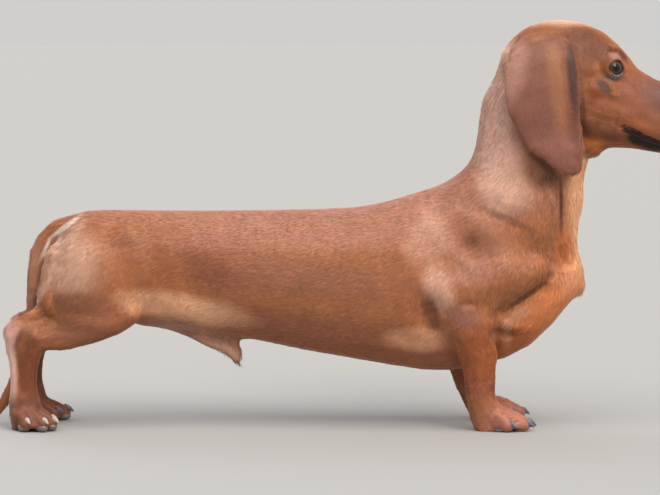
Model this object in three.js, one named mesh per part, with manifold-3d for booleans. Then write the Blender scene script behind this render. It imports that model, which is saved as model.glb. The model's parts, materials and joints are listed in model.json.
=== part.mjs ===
// A smooth-haired dachshund as a still, life-size model: standing square, head up, tail hanging.
// Millimetres. +X runs from tail to nose, +Y to the dog's left, +Z up, paws flat on z = 0.
import * as THREE from 'three';
import { mergeVertices } from 'three/addons/utils/BufferGeometryUtils.js';
import Module from 'manifold-3d';

const wasm = await Module();
wasm.setup();

// Driving dimensions
const withersHeight = 207;      // floor to the top of the shoulder blades
const skullHeight = 346.5;      // floor to the top of the head
const brisketHeight = 45;       // floor to the lowest point of the chest
const ribHalfWidth = 60;
const loinHalfWidth = 47.5;
const skullHalfWidth = 39;
const neckHalfWidth = 33;
const forepawY = 43;            // each forepaw's distance from the middle plane
const hindpawY = 36;
const leftElbowBack = 10;       // the left foreleg comes down from this far behind the right one
const noseTipX = 342.6;         // tail-tip to nose-tip runs from -294 to this
const tailTipX = -294;
const eyeRadius = 10;
const earThickness = 3.6;
const cutGap = 0.3;             // clearance between neighbouring pieces

const coatRed = 0xa9653f;
const coatEar = 0x8a5444;
const coatLeg = 0x96532f;
const clawHorn = 0x4a4346;
const noseLeather = 0x241d1c;
const eyeDark = 0x1d1310;

// Closed solid from a geometry: shared corners merged, faces turned outwards
function solid(geometry) {
  geometry.deleteAttribute('normal');
  geometry.deleteAttribute('uv');
  const merged = mergeVertices(geometry, 1e-4);
  const corners = merged.getAttribute('position').array;
  const index = Array.from(merged.getIndex().array);
  const triangles = [];
  for (let i = 0; i < index.length; i += 3) {
    const [a, b, c] = index.slice(i, i + 3);
    if (a !== b && b !== c && c !== a) triangles.push([a, b, c]);
  }
  const at = (i) => new THREE.Vector3().fromArray(corners, 3 * i);
  const volume = triangles.reduce((sum, [a, b, c]) => sum + at(a).dot(at(b).cross(at(c))), 0);
  const outward = volume < 0 ? triangles.map(([a, b, c]) => [a, c, b]) : triangles;
  return new wasm.Manifold(new wasm.Mesh({
    numProp: 3,
    vertProperties: Float32Array.from(corners),
    triVerts: Uint32Array.from(outward.flat()),
  }));
}

// A station is a ring through two points of the side view, a and b, each [x, z].
// y is the ring's middle, w its half-width, m how far from b to a it is widest, n its squareness.
function loft(stations, { sides = 16, steps = 16, side = 1, grow = 0 } = {}) {
  const curve = (points) => new THREE.CatmullRomCurve3(points, false, 'catmullrom', 0.5);
  const edgeA = curve(stations.map((s) => new THREE.Vector3(s.a[0], side * (s.y ?? 0), s.a[1])));
  const edgeB = curve(stations.map((s) => new THREE.Vector3(s.b[0], side * (s.y ?? 0), s.b[1])));
  const form = curve(stations.map((s) => new THREE.Vector3(s.w, s.m ?? 0.5, s.n ?? 2)));
  const geometry = new THREE.CylinderGeometry(1, 1, 1, sides, steps);
  const position = geometry.getAttribute('position');
  for (let i = 0; i < position.count; i += 1) {
    const t = THREE.MathUtils.clamp(position.getY(i) + 0.5, 0, 1);
    const angle = Math.atan2(position.getZ(i), position.getX(i));
    const onRim = Math.hypot(position.getX(i), position.getZ(i)) > 0.5;
    const a = edgeA.getPoint(t);
    const b = edgeB.getPoint(t);
    const { x: w, y: m, z: n } = form.getPoint(t);
    const reach = a.clone().sub(b).normalize().multiplyScalar(grow);
    a.add(reach);
    b.sub(reach);
    const middle = b.clone().lerp(a, m);
    const up = Math.sin(angle);
    const across = Math.cos(angle);
    const bend = 2 / n;
    const point = middle.clone();
    if (onRim) {
      point.lerp(up > 0 ? a : b, Math.abs(up) ** bend);
      point.y += Math.sign(across) * Math.abs(across) ** bend * (w + grow);
    }
    position.setXYZ(i, point.x, point.y, point.z);
  }
  return solid(geometry);
}

function ellipsoid(centre, radii, { sides = 14, steps = 10, side = 1, turn = [0, 0, 0], grow = 0 } = {}) {
  const geometry = new THREE.SphereGeometry(1, sides, steps);
  geometry.scale(radii[0] + grow, radii[1] + grow, radii[2] + grow);
  const [rollX, pitchY, yawZ] = turn.map(THREE.MathUtils.degToRad);
  geometry.rotateX(side * rollX);
  geometry.rotateY(pitchY);
  geometry.rotateZ(side * yawZ);
  geometry.translate(centre[0], side * centre[1], centre[2]);
  return solid(geometry);
}

// A side-view outline, each corner [x, z] anticlockwise, run through from y = low to y = high
function prism(outline, low, high, grow = 0) {
  const corners = outline.map((p) => new THREE.Vector2(...p));
  const shape = new THREE.Shape(corners.map((here, i) => {
    const before = corners.at(i - 1);
    const after = corners[(i + 1) % corners.length];
    const normalIn = here.clone().sub(before).normalize().rotateAround(new THREE.Vector2(), -Math.PI / 2);
    const normalOut = after.clone().sub(here).normalize().rotateAround(new THREE.Vector2(), -Math.PI / 2);
    const spread = 1 + normalIn.dot(normalOut);
    return here.clone().addScaledVector(normalIn.add(normalOut), grow / spread);
  }));
  const depth = high - low + 2 * grow;
  const geometry = new THREE.ExtrudeGeometry(shape, { depth, bevelEnabled: false });
  geometry.rotateX(Math.PI / 2);
  geometry.translate(0, high + grow, 0);
  return solid(geometry);
}

const unite = (pieces) => pieces.reduce((sum, piece) => sum.add(piece));

// Trunk: rings from the rump to the breastbone, a on the back and b on the belly
function trunk(grow) {
  return loft([
    { a: [-232, 168], b: [-229, 146], w: 14, m: 0.5 },
    { a: [-222, 179.5], b: [-218, 126], w: 31, m: 0.5 },
    { a: [-205, 184.2], b: [-200, 106], w: 42, m: 0.52 },
    { a: [-180, 185], b: [-178, 88], w: 46.5, m: 0.54 },
    { a: [-150, 184.4], b: [-150, 82.3], w: loinHalfWidth, m: 0.55 },
    { a: [-110, 184.2], b: [-110, 78.5], w: loinHalfWidth + 0.5, m: 0.54 },
    { a: [-68, 184.6], b: [-70, 73.5], w: 50.5, m: 0.52, n: 2.1 },
    { a: [-25, 185.5], b: [-28, 65], w: 55, m: 0.5, n: 2.15 },
    { a: [18, 186.5], b: [17, 57], w: ribHalfWidth - 1.5, m: 0.5, n: 2.2 },
    { a: [50, 192.5], b: [55, 50.5], w: ribHalfWidth, m: 0.5, n: 2.2 },
    { a: [77, 201], b: [85, 46], w: ribHalfWidth, m: 0.5, n: 2.1 },
    { a: [94, withersHeight - 1], b: [110, brisketHeight + 2], w: ribHalfWidth - 2, m: 0.48 },
    { a: [118, 203], b: [138, 53.5], w: 55, m: 0.46 },
    { a: [150, 190], b: [162, 62.5], w: 49, m: 0.44 },
    { a: [180, 168], b: [184, 79.5], w: 40, m: 0.44 },
    { a: [207, 155], b: [204, 104.5], w: 27, m: 0.4 },
    { a: [215.2, 141], b: [213.5, 112.5], w: 13, m: 0.4 },
    { a: [217.8, 120], b: [217.2, 115.5], w: 3 },
  ], { sides: 16, steps: 19, grow });
}

// Neck: a on the nape, b down the throat
function neck(grow) {
  return loft([
    { a: [156, 316], b: [206, 276], w: 26 },
    { a: [139, 298], b: [216, 256], w: neckHalfWidth - 1 },
    { a: [128.5, 279], b: [222, 241], w: neckHalfWidth },
    { a: [125.3, 258], b: [221.5, 226], w: neckHalfWidth + 1.5, m: 0.52 },
    { a: [122.5, 236], b: [217, 209], w: neckHalfWidth + 4, m: 0.55 },
    { a: [115.5, 221], b: [217.5, 191], w: neckHalfWidth + 7.5, m: 0.57 },
    { a: [99, 209.5], b: [213.2, 173], w: neckHalfWidth + 11, m: 0.55 },
    { a: [80, 199], b: [212.4, 155], w: neckHalfWidth + 13, m: 0.52 },
    { a: [78, 180], b: [211.6, 138], w: neckHalfWidth + 8, m: 0.5 },
  ], { sides: 12, steps: 8, grow });
}

// Head: a along the skull and bridge, b along the jaw
function skull(grow) {
  return loft([
    { a: [150, 312], b: [170, 278], w: 19, m: 0.6 },
    { a: [147.5, 321.5], b: [180, 258], w: 29, m: 0.62 },
    { a: [158, 334.5], b: [190, 246], w: 35, m: 0.62 },
    { a: [174, 343.5], b: [200, 240], w: skullHalfWidth - 1, m: 0.6 },
    { a: [194, skullHeight], b: [212, 236.5], w: skullHalfWidth + 1, m: 0.56, n: 2.15 },
    { a: [213, 344.6], b: [224, 235.5], w: skullHalfWidth + 0.5, m: 0.52, n: 2.2 },
    { a: [230, 337.8], b: [236, 236], w: skullHalfWidth - 2.5, m: 0.5, n: 2.2 },
    { a: [245, 325], b: [246, 236.2], w: 32.5, m: 0.48, n: 2.2 },
    { a: [254, 315], b: [255, 235.8], w: 28, m: 0.44, n: 2.2 },
    { a: [264, 302.3], b: [265, 234.8], w: 24, m: 0.42, n: 2.25 },
    { a: [280, 294.3], b: [280, 232], w: 21.5, m: 0.42, n: 2.3 },
    { a: [298, 288.6], b: [297, 230.9], w: 20, m: 0.42, n: 2.3 },
    { a: [314, 284.1], b: [312, 234.2], w: 18.5, m: 0.44, n: 2.3 },
    { a: [327, 280.2], b: [324, 241], w: 16, m: 0.46, n: 2.2 },
    { a: [334, 275.5], b: [331, 252], w: 11.5, m: 0.5 },
    { a: [337, 268], b: [336, 261], w: 4 },
  ], { sides: 14, steps: 17, grow });
}

const cheekbone = (side, grow) => ellipsoid([224, 29, 285], [27, 11, 17],
  { side, grow, sides: 8, steps: 5, turn: [0, 8, -8] });

function nosePad(grow) {
  return loft([
    { a: [327, 279.5], b: [329, 265], w: 10 },
    { a: [334, 280], b: [335, 263], w: 12.5, n: 2.4 },
    { a: [340, 277.5], b: [340, 264], w: 11, n: 2.4 },
    { a: [noseTipX, 272.5], b: [noseTipX, 268.5], w: 5 },
  ], { sides: 10, steps: 4, grow });
}

const throatSkin = (grow) => ellipsoid([221, 0, 240.5], [12.5, 21, 13], { grow, sides: 8, steps: 5 });

// Shoulder and upper arm, from the blade down to the elbow
function shoulderForms(side, grow) {
  return [
    ellipsoid([138, 33, 160], [50, 17, 25], { side, grow, sides: 8, steps: 5, turn: [14, 41, 0] }),
    loft([
      { a: [188, 138], b: [184, 124], y: 33, w: 9 },
      { a: [174, 148], b: [169, 114], y: 38, w: 16 },
      { a: [148, 152], b: [142, 101], y: 42.5, w: 18 },
      { a: [118, 146], b: [118, 90], y: 46, w: 17.5 },
      { a: [96, 128], b: [97, 89], y: 48, w: 14 },
      { a: [87, 112], b: [91, 98], y: 48.5, w: 7 },
    ], { sides: 8, steps: 5, side, grow }),
  ];
}

// Foreleg below the elbow: a down its front, b down its back. The left one slants forward to its paw.
const setBack = (side, z) => (side > 0 ? leftElbowBack * THREE.MathUtils.smoothstep(z, 4, 46) : 0);

function foreleg(side, grow) {
  return loft([
    { a: [141, 118], b: [96, 116], y: 46, w: 13 },
    { a: [142, 98], b: [95, 99], y: 47.5, w: 15.5 },
    { a: [140.6, 84], b: [97, 87], y: 48, w: 14.8 },
    { a: [140.6, 70], b: [102.5, 72], y: 47, w: 13.2 },
    { a: [141.5, 59], b: [109, 60], y: 45.8, w: 12.2 },
    { a: [139.6, 48], b: [112, 48], y: 45.2, w: 11.4 },
    { a: [138.4, 38], b: [113, 37], y: 45.3, w: 11.8 },
    { a: [140.6, 28], b: [114.6, 25], y: 45.6, w: 12.4 },
    { a: [147, 17], b: [117, 12], y: forepawY, w: 13.5 },
    { a: [151, 7], b: [119.5, 5], y: forepawY, w: 13.5 },
    { a: [149, -3], b: [123, -3], y: forepawY, w: 12 },
  ].map((ring) => ({
    ...ring,
    a: [ring.a[0] - setBack(side, ring.a[1]), ring.a[1]],
    b: [ring.b[0] - setBack(side, ring.b[1]), ring.b[1]],
  })), { sides: 8, steps: 9, side, grow });
}

function thigh(side, grow) {
  return loft([
    { a: [-186, 172], b: [-226, 164], y: 22, w: 16 },
    { a: [-170, 156], b: [-241, 150], y: 26.5, w: 23 },
    { a: [-160, 134], b: [-245.5, 133], y: 29, w: 24.5 },
    { a: [-155, 112], b: [-249, 116], y: 31, w: 23 },
    { a: [-160, 95], b: [-249, 104], y: 33.5, w: 19.5 },
    { a: [-170, 87.5], b: [-238, 95], y: 36, w: 15 },
    { a: [-185, 84], b: [-226, 88], y: 37.5, w: 9 },
  ], { sides: 10, steps: 6, side, grow });
}

// Lower thigh: a along its top, b along the shin, from stifle to hock
function lowerThigh(side, grow) {
  return [
    loft([
      { a: [-156, 104], b: [-161, 92], y: 33, w: 7 },
      { a: [-172, 110], b: [-171, 85.5], y: 34, w: 14.5 },
      { a: [-196, 107], b: [-192, 76], y: 35.5, w: 15.5 },
      { a: [-216, 103], b: [-214, 66.3], y: 36.5, w: 13.5 },
      { a: [-233, 94], b: [-231, 66.8], y: 37.5, w: 11.2 },
      { a: [-247, 91], b: [-247, 67], y: 38, w: 10.5 },
      { a: [-262, 92], b: [-260, 72], y: 38, w: 9 },
    ], { sides: 8, steps: 5, side, grow }),
    loft([
      { a: [-232, 118], b: [-226, 100], y: 34, w: 8 },
      { a: [-250, 105], b: [-245, 94], y: 36, w: 6 },
      { a: [-263, 96.5], b: [-259, 86], y: 37.5, w: 5.2 },
      { a: [-272, 92.5], b: [-269, 80], y: 38, w: 6.4 },
      { a: [-276.5, 86.5], b: [-273.5, 76], y: 38, w: 5 },
    ], { sides: 5, steps: 4, side, grow }),       // tendon to the point of the hock
  ];
}

// Hock and rear pastern: a down the front, b down the back
function rearPastern(side, grow) {
  return loft([
    { a: [-243, 90], b: [-270, 91], y: 38, w: 7 },
    { a: [-240, 82], b: [-277, 84], y: 38, w: 10.6 },
    { a: [-240, 71], b: [-276.3, 74], y: 38, w: 11.2 },
    { a: [-244.5, 60], b: [-273, 61], y: 37.6, w: 10.2 },
    { a: [-247.2, 46], b: [-271, 46], y: 37.2, w: 9.7 },
    { a: [-247, 31], b: [-271.6, 31], y: 36.6, w: 10.6 },
    { a: [-243, 18], b: [-272.5, 19], y: hindpawY, w: 12.6 },
    { a: [-242, 7], b: [-271, 6], y: hindpawY, w: 12.8 },
    { a: [-245, -3], b: [-267, -3], y: hindpawY, w: 11 },
  ], { sides: 8, steps: 7, side, grow });
}

// Paws: four toes fan out from the middle of the foot, the two inner ones longest
const toeFan = [
  { turn: 12, reach: -5, across: 8.2 },
  { turn: 4, reach: 0, across: 2.9 },
  { turn: -4, reach: 0, across: -2.9 },
  { turn: -12, reach: -5, across: -8.2 },
];
const paws = [
  { name: 'fore_right', side: -1, at: [137, forepawY], heading: 10 },
  { name: 'fore_left', side: 1, at: [136, forepawY], heading: 21 },
  { name: 'hind_right', side: -1, at: [-259.5, hindpawY], heading: 41 },
  { name: 'hind_left', side: 1, at: [-257, hindpawY], heading: 14 },
];
const toeLength = 32.5;           // from the middle of the foot to the tip of a middle toe

// Puts a solid made along +X into its paw: turned out by the heading, moved to the foot
function placed(geometrySolid, paw) {
  const turn = THREE.MathUtils.degToRad(paw.side * paw.heading);
  const matrix = new THREE.Matrix4().makeRotationZ(turn);
  matrix.setPosition(paw.at[0], paw.side * paw.at[1], 0);
  return geometrySolid.transform(matrix.elements);
}

function alongToe(geometrySolid, toe) {
  const matrix = new THREE.Matrix4().makeRotationZ(THREE.MathUtils.degToRad(toe.turn));
  matrix.setPosition(0, toe.across, 0);
  return geometrySolid.transform(matrix.elements);
}

function toeSolid(toe, paw, grow) {
  const tip = toeLength + toe.reach;
  const shape = loft([
    { a: [tip - 30, 23], b: [tip - 28, 2], w: 6 },
    { a: [tip - 21, 20.5], b: [tip - 20, -0.5], w: 7 },
    { a: [tip - 11.5, 17.5], b: [tip - 12, -1.2], w: 7.3, m: 0.45 },
    { a: [tip - 3.5, 12.5], b: [tip - 4, -1.2], w: 6.6, m: 0.4 },
    { a: [tip + 1, 6.6], b: [tip + 0.5, 2.6], w: 2.6 },
  ], { sides: 6, steps: 3, grow });
  return placed(alongToe(shape, toe), paw);
}

function claw(toe, paw) {
  const tip = toeLength + toe.reach;
  const shape = loft([
    { a: [tip - 4, 11.5], b: [tip - 5, 6.5], w: 2.5 },
    { a: [tip + 3.6, 9.4], b: [tip + 1.6, 4.8], w: 2.2 },
    { a: [tip + 8.2, 3.4], b: [tip + 6.8, 2.4], w: 0.8 },
  ], { sides: 4, steps: 2 });
  return placed(alongToe(shape, toe), paw);
}

function dewclaw(side) {
  return loft([
    { a: [139, 38], b: [134, 33], y: 34.5, w: 2.2 },
    { a: [141.5, 32.5], b: [137.5, 29.5], y: 32.6, w: 1.9 },
    { a: [142.4, 26.6], b: [140.6, 26], y: 32.4, w: 0.7 },
  ], { sides: 4, steps: 2, side }).translate(-setBack(side, 32), 0, 0);
}

function tailSolid(grow) {
  return loft([
    { a: [-196, 180], b: [-202, 158], w: 12 },
    { a: [-220, 181.4], b: [-214, 158], w: 11 },
    { a: [-237.5, 175], b: [-228, 156], w: 9.6 },
    { a: [-250, 162], b: [-238, 149.5], w: 8.2 },
    { a: [-257, 146], b: [-244.5, 140], w: 7.2 },
    { a: [-259, 128], b: [-247.3, 127], w: 6.2 },
    { a: [-259.5, 108], b: [-248.6, 107], w: 5.6 },
    { a: [-261.5, 86], b: [-251.5, 84], w: 5 },
    { a: [-266.5, 64], b: [-257, 62], w: 4.9 },
    { a: [-273.5, 42], b: [-264.3, 39], w: 4.6 },
    { a: [-281.5, 24], b: [-273, 18.5], w: 4.1 },
    { a: [-289, 12.5], b: [-283, 5.4], w: 3.2 },
    { a: [tailTipX, 8.4], b: [tailTipX + 0.8, 4.8], w: 1.4 },
  ], { sides: 6, steps: 13, grow });
}

function sheath(grow) {
  return loft([
    { a: [-152, 94], b: [-150, 84], w: 5 },
    { a: [-126, 94], b: [-125, 75], w: 8.5 },
    { a: [-103, 92], b: [-104, 65], w: 9 },
    { a: [-82, 84], b: [-90, 59], w: 7.8 },
    { a: [-74.6, 68], b: [-82.5, 53.4], w: 5.2 },
    { a: [-75.4, 54.5], b: [-78, 51.4], w: 1.8 },
  ], { sides: 6, steps: 5, grow });
}

const groin = (grow) => ellipsoid([-207, 0, 101], [15, 11.5, 12], { grow, sides: 6, steps: 4 });

// All flesh in one solid, flat under the paws
function flesh(grow) {
  const pieces = [trunk(grow), neck(grow), skull(grow), nosePad(grow), throatSkin(grow), tailSolid(grow)];
  pieces.push(sheath(grow), groin(grow));
  for (const side of [-1, 1]) {
    pieces.push(cheekbone(side, grow), ...shoulderForms(side, grow), foreleg(side, grow));
    pieces.push(thigh(side, grow), ...lowerThigh(side, grow), rearPastern(side, grow));
  }
  for (const paw of paws) {
    pieces.push(...toeFan.map((toe) => toeSolid(toe, paw, grow)));
  }
  const underFloor = prism([[-400, -60], [500, -60], [500, -grow], [-400, -grow]], -200, 200);
  return unite(pieces).subtract(underFloor);
}

// Eyeballs look outwards and a little ahead
const eyeCentre = [238.8, 24.4, 305.6];
const eyeball = (side, grow) => ellipsoid(eyeCentre, [eyeRadius, eyeRadius, eyeRadius],
  { side, grow, sides: 8, steps: 6 });

// Ears: a down the rear edge, b down the front edge, hung out from the skull over the cheek
function ear(side) {
  return loft([
    { a: [166, 332.5], b: [193, 334], y: 24.5, w: 3 },
    { a: [154, 326], b: [201, 329], y: 32.5, w: 4 },
    { a: [147.5, 314], b: [205, 317], y: 40.5, w: earThickness * 0.7 },
    { a: [145.6, 297], b: [208, 300], y: 44.6, w: earThickness / 2 },
    { a: [146.5, 277], b: [208.8, 280], y: 45.6, w: earThickness / 2 },
    { a: [154, 262], b: [210.6, 264], y: 45.2, w: earThickness / 2 },
    { a: [161, 246.5], b: [213, 248.5], y: 44.2, w: earThickness / 2 },
    { a: [171, 234.5], b: [215.6, 236], y: 43, w: earThickness / 2 },
    { a: [183, 225], b: [216, 227], y: 42, w: earThickness / 2 },
    { a: [194, 218.6], b: [213.6, 220], y: 41.4, w: earThickness / 2 },
    { a: [202, 215.4], b: [209.6, 215.6], y: 41.2, w: earThickness / 4 },
  ], { sides: 8, steps: 9, side });
}

// Splitting: each region takes its piece out of what is left, with a gap all round
const group = new THREE.Group();

function addPiece(name, piece, colour, roughness = 0.7) {
  const { vertProperties, triVerts } = piece.getMesh();
  const geometry = new THREE.BufferGeometry();
  geometry.setAttribute('position', new THREE.BufferAttribute(Float32Array.from(vertProperties), 3));
  geometry.setIndex(Array.from(triVerts));
  geometry.computeVertexNormals();
  const material = new THREE.MeshStandardMaterial({ color: colour, roughness, metalness: 0 });
  const mesh = new THREE.Mesh(geometry, material);
  mesh.name = name;
  group.add(mesh);
}

let body = flesh(0);
const around = flesh(cutGap);
const sides = [['right', -1], ['left', 1]];

for (const [label, side] of sides) {
  body = body.subtract(eyeball(side, cutGap));
  addPiece(`eye_${label}`, eyeball(side, 0), eyeDark, 0.1);
  addPiece(`ear_${label}`, ear(side).subtract(around), coatEar);
  addPiece(`dewclaw_${label}`, dewclaw(side).subtract(around), clawHorn, 0.45);
}
for (const paw of paws) {
  toeFan.forEach((toe, i) => {
    addPiece(`claw_${paw.name}_${i + 1}`, claw(toe, paw).subtract(around), clawHorn, 0.45);
  });
}

function take(name, outline, [low, high], colour, roughness) {
  addPiece(name, body.intersect(prism(outline, low, high)), colour, roughness);
  body = body.subtract(prism(outline, low, high, cutGap));
}

// Everything beyond a distance from the middle plane, on one side or on both
const outside = (side, inner) => (side < 0 ? [-200, -inner] : [inner, 200]);
const across = [-200, 200];

take('nose', [[329.5, 262.5], [360, 262.5], [360, 300], [329.5, 300]], across, noseLeather, 0.5);
take('lower_jaw', [[246, 200], [345, 200], [345, 252], [314, 242.5], [281, 243.5], [246, 252]],
  across, coatRed);
take('head', [[144, 300], [232, 228], [400, 228], [400, 400], [100, 400], [100, 334]], across, coatRed);
take('tail_root', [[-216, 190], [-300, 190], [-300, 112], [-243, 112], [-224, 150]], [-10, 10], coatRed);
take('tail_middle', [[-240, 112], [-300, 112], [-300, 52], [-240, 52]], [-12, 12], coatRed);
take('tail_tip', [[-240, 52], [-300, 52], [-300, 2], [-240, 2]], [-12, 12], coatRed);
for (const [label, side] of sides) {
  const forearmOutline = [[106, 30], [146, 30], [145, 92], [90, 92], [94, 78], [106, 60]]
    .map(([x, z]) => [x - setBack(side, z), z]);
  take(`forepaw_${label}`, [[90, -20], [220, -20], [220, 30], [90, 30]], outside(side, 1), coatLeg);
  take(`forearm_${label}`, forearmOutline, outside(side, 27), coatLeg);
  take(`upper_arm_${label}`, [[82, 92], [144, 92], [196, 120], [192, 146], [120, 172], [84, 128]],
    outside(side, 34), coatRed);
  take(`hindpaw_${label}`, [[-290, -20], [-180, -20], [-180, 25], [-290, 25]], outside(side, 1), coatLeg);
  take(`rear_pastern_${label}`, [[-290, 25], [-238, 25], [-238, 64], [-246, 100], [-290, 100]],
    outside(side, 1), coatLeg);
  take(`lower_thigh_${label}`, [[-262, 60], [-164, 60], [-164, 86], [-236, 101], [-262, 108]],
    outside(side, 13), coatRed);
  take(`thigh_${label}`, [[-262, 80], [-150, 80], [-150, 150], [-262, 168]], outside(side, 13), coatRed);
}
take('neck', [[93, 208], [224, 146], [260, 146], [260, 300], [93, 330]], across, coatRed);
take('chest', [[-35, 0], [300, 0], [300, 250], [-35, 250]], across, coatRed);
take('belly', [[-140, 0], [-35, 0], [-35, 250], [-140, 250]], across, coatRed);
addPiece('rump', body, coatRed);

// The origin stands on the floor under the middle of the whole length
group.position.x = -(noseTipX + tailTipX) / 2;

export default group;
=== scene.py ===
# %% [markdown]
# A smooth-haired red dachshund as a life-size museum model
#
# The dog stands square on a pale floor, seen from its right, and the nose runs out of the picture's edge.
# The CAD model gives its true outline in plain solids. Here one skin is grown over all of them, modelled
# like clay, and covered with a short coat of small hair tufts. Eyes, nose, claws and pads are pieces of
# their own. Places are given in millimetres as they lie before the camera: x from the camera's own line
# towards the nose, y towards the dog's left, z up from the floor.

import json
import math

import bmesh
import bpy
import numpy as np
from mathutils import Matrix, Vector
from mathutils.bvhtree import BVHTree

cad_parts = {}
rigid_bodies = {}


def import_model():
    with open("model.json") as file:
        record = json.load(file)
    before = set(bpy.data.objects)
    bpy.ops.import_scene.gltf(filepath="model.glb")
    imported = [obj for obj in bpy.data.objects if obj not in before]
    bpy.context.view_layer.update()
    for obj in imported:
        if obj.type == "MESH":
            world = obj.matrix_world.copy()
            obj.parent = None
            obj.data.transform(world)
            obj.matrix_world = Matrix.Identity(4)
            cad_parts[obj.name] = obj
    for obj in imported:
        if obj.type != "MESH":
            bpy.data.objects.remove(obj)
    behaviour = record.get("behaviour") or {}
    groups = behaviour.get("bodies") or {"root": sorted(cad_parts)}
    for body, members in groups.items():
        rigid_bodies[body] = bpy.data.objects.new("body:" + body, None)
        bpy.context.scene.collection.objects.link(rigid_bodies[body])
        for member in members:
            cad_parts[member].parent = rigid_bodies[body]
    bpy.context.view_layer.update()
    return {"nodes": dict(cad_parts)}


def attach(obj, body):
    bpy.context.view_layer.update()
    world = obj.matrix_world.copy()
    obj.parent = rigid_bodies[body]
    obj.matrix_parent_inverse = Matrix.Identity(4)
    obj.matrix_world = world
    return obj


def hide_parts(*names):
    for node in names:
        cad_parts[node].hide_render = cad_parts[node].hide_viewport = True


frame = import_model()
CAMERA_LINE = 24.3  # mm from the camera's line ahead to the model's own origin
chance = np.random.default_rng(12)

# %% Places and measures
def metres(place):
    """A place in millimetres before the camera, as metres in the model's frame."""
    return (np.asarray(place, dtype=float) - (CAMERA_LINE, 0, 0)) / 1000


def read(items, name, width=1, kind=np.float32):
    """One property of every vertex, edge, face or corner, as an array."""
    flat = np.empty(len(items) * width, dtype=kind)
    items.foreach_get(name, flat)
    return flat.reshape(-1, width) if width > 1 else flat


def places(mesh):
    """Every vertex of a mesh, in millimetres before the camera."""
    return read(mesh.vertices, "co", 3).astype(float) * 1000 + (CAMERA_LINE, 0, 0)


def put(mesh, where):
    mesh.vertices.foreach_set("co", metres(where).astype(np.float32).ravel())
    mesh.update()


def normals(mesh):
    return read(mesh.vertices, "normal", 3).astype(float)


def tag(mesh, name, values):
    """Gives every vertex a number that the materials can read."""
    layer = mesh.attributes.new(name, "FLOAT", "POINT")
    layer.data.foreach_set("value", values.astype(np.float32))


def in_scene(name, data):
    """A new object at the model's origin."""
    made = bpy.data.objects.new(name, data)
    bpy.context.scene.collection.objects.link(made)
    return made


def unit(v):
    return v / np.maximum(np.linalg.norm(v, axis=-1, keepdims=True), 1e-9)


def step(low, high, value):
    """0 below low, 1 above high, with a soft S between them."""
    t = np.clip((np.asarray(value, dtype=float) - low) / (high - low), 0, 1)
    return t * t * (3 - 2 * t)


# %% [markdown]
# Camera, floor and light
#
# The picture was taken from far off with a long lens, so near and far legs are almost the same size. The
# camera stands 3.9 m to the dog's right, a little above its back, and tips down by four degrees. A wide
# soft light hangs over the dog, as the open sky did, and three weak ones fill the shadows. Far-off lights
# keep the floor evenly bright, so that it runs into the background without an edge.

# %% Camera
LENS_MM = 250.25
CAMERA_BACK = 3900  # mm from the dog's middle plane
CAMERA_HIGH = 430
CAMERA_TIP = 4.08  # degrees down

lens = bpy.data.cameras.new("camera")
lens.lens = LENS_MM
lens.clip_end = 50
camera = in_scene("camera", lens)
camera.location = metres((0, -CAMERA_BACK, CAMERA_HIGH))
camera.rotation_euler = (math.radians(90 - CAMERA_TIP), 0, 0)
bpy.context.scene.camera = camera
print("camera", tuple(round(v, 3) for v in camera.location))


# %% One function for colours and one for nodes
def colour(hex_srgb, alpha=1.0):
    """A colour given as seen on screen, as the linear light values that Blender calculates with."""
    channels = [int(hex_srgb[i:i + 2], 16) / 255 for i in (1, 3, 5)]
    return tuple(c / 12.92 if c <= 0.04045 else ((c + 0.055) / 1.055) ** 2.4 for c in channels) + (alpha,)


def node(material, kind, *, links=None, inputs=None, **settings):
    """Adds a node. settings are its properties, inputs its values, links socket name to output."""
    made = material.node_tree.nodes.new("ShaderNode" + kind)
    for name, value in settings.items():
        setattr(made, name, value)
    for name, value in (inputs or {}).items():
        made.inputs[name].default_value = value
    for name, output in (links or {}).items():
        material.node_tree.links.new(output, made.inputs[name])
    return made


# %% Floor and lights
FLOOR_ACROSS = 24  # metres
floor_mesh = bpy.data.meshes.new("floor")
grid = bmesh.new()
bmesh.ops.create_grid(grid, x_segments=1, y_segments=1, size=FLOOR_ACROSS / 2)
grid.to_mesh(floor_mesh)
grid.free()
floor = in_scene("floor", floor_mesh)

# A roll of matt paper: the eye finds neither grain nor gleam on it, only the dog's shadow.
paper = bpy.data.materials.new("seamless_paper")
paper.use_nodes = True
sheet = paper.node_tree.nodes["Principled BSDF"]
sheet.inputs["Base Color"].default_value = colour("#A3A4A4")
sheet.inputs["Roughness"].default_value = 0.85
floor_mesh.materials.append(paper)

world = bpy.data.worlds.new("studio")
world.use_nodes = True
world.node_tree.nodes["Background"].inputs["Color"].default_value = colour("#F4F2EF")
world.node_tree.nodes["Background"].inputs["Strength"].default_value = 0.70
bpy.context.scene.world = world
bpy.context.scene.view_settings.view_transform = "Standard"


def soft_sun(name, towards, strength, softness, tint):
    """Light from everywhere around one direction, as even far away as near the dog."""
    lamp = bpy.data.lights.new(name, "SUN")
    lamp.energy = strength
    lamp.angle = math.radians(softness)
    lamp.color = colour(tint)[:3]
    in_scene(name, lamp).rotation_euler = Vector(towards).to_track_quat("-Z", "Y").to_euler()


soft_sun("overhead", (-0.10, 0.50, -1), 2.35, 60, "#FFF7F0")
soft_sun("window", (-0.35, 0.75, -0.56), 1.1, 26, "#FFF4E6")  # gives the eye its highlight
soft_sun("front_fill", (-0.90, 0.15, -0.35), 0.45, 60, "#FFE9D2")
soft_sun("back_rim", (0.45, -0.75, -0.55), 0.70, 50, "#F3F5FF")
print("floor and 4 lights")

# %% [markdown]
# The skin
#
# A real dog has one skin with no seam, so the plain solids of its flesh are joined first. Modelling every
# muscle by hand would lose the outline that the solids already have. A voxel remesh instead melts copies
# of them into one even net of small squares, which can be smoothed and pushed like clay. The ears are as
# thin as leather, so their copies are thickened before they are melted in.

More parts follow.
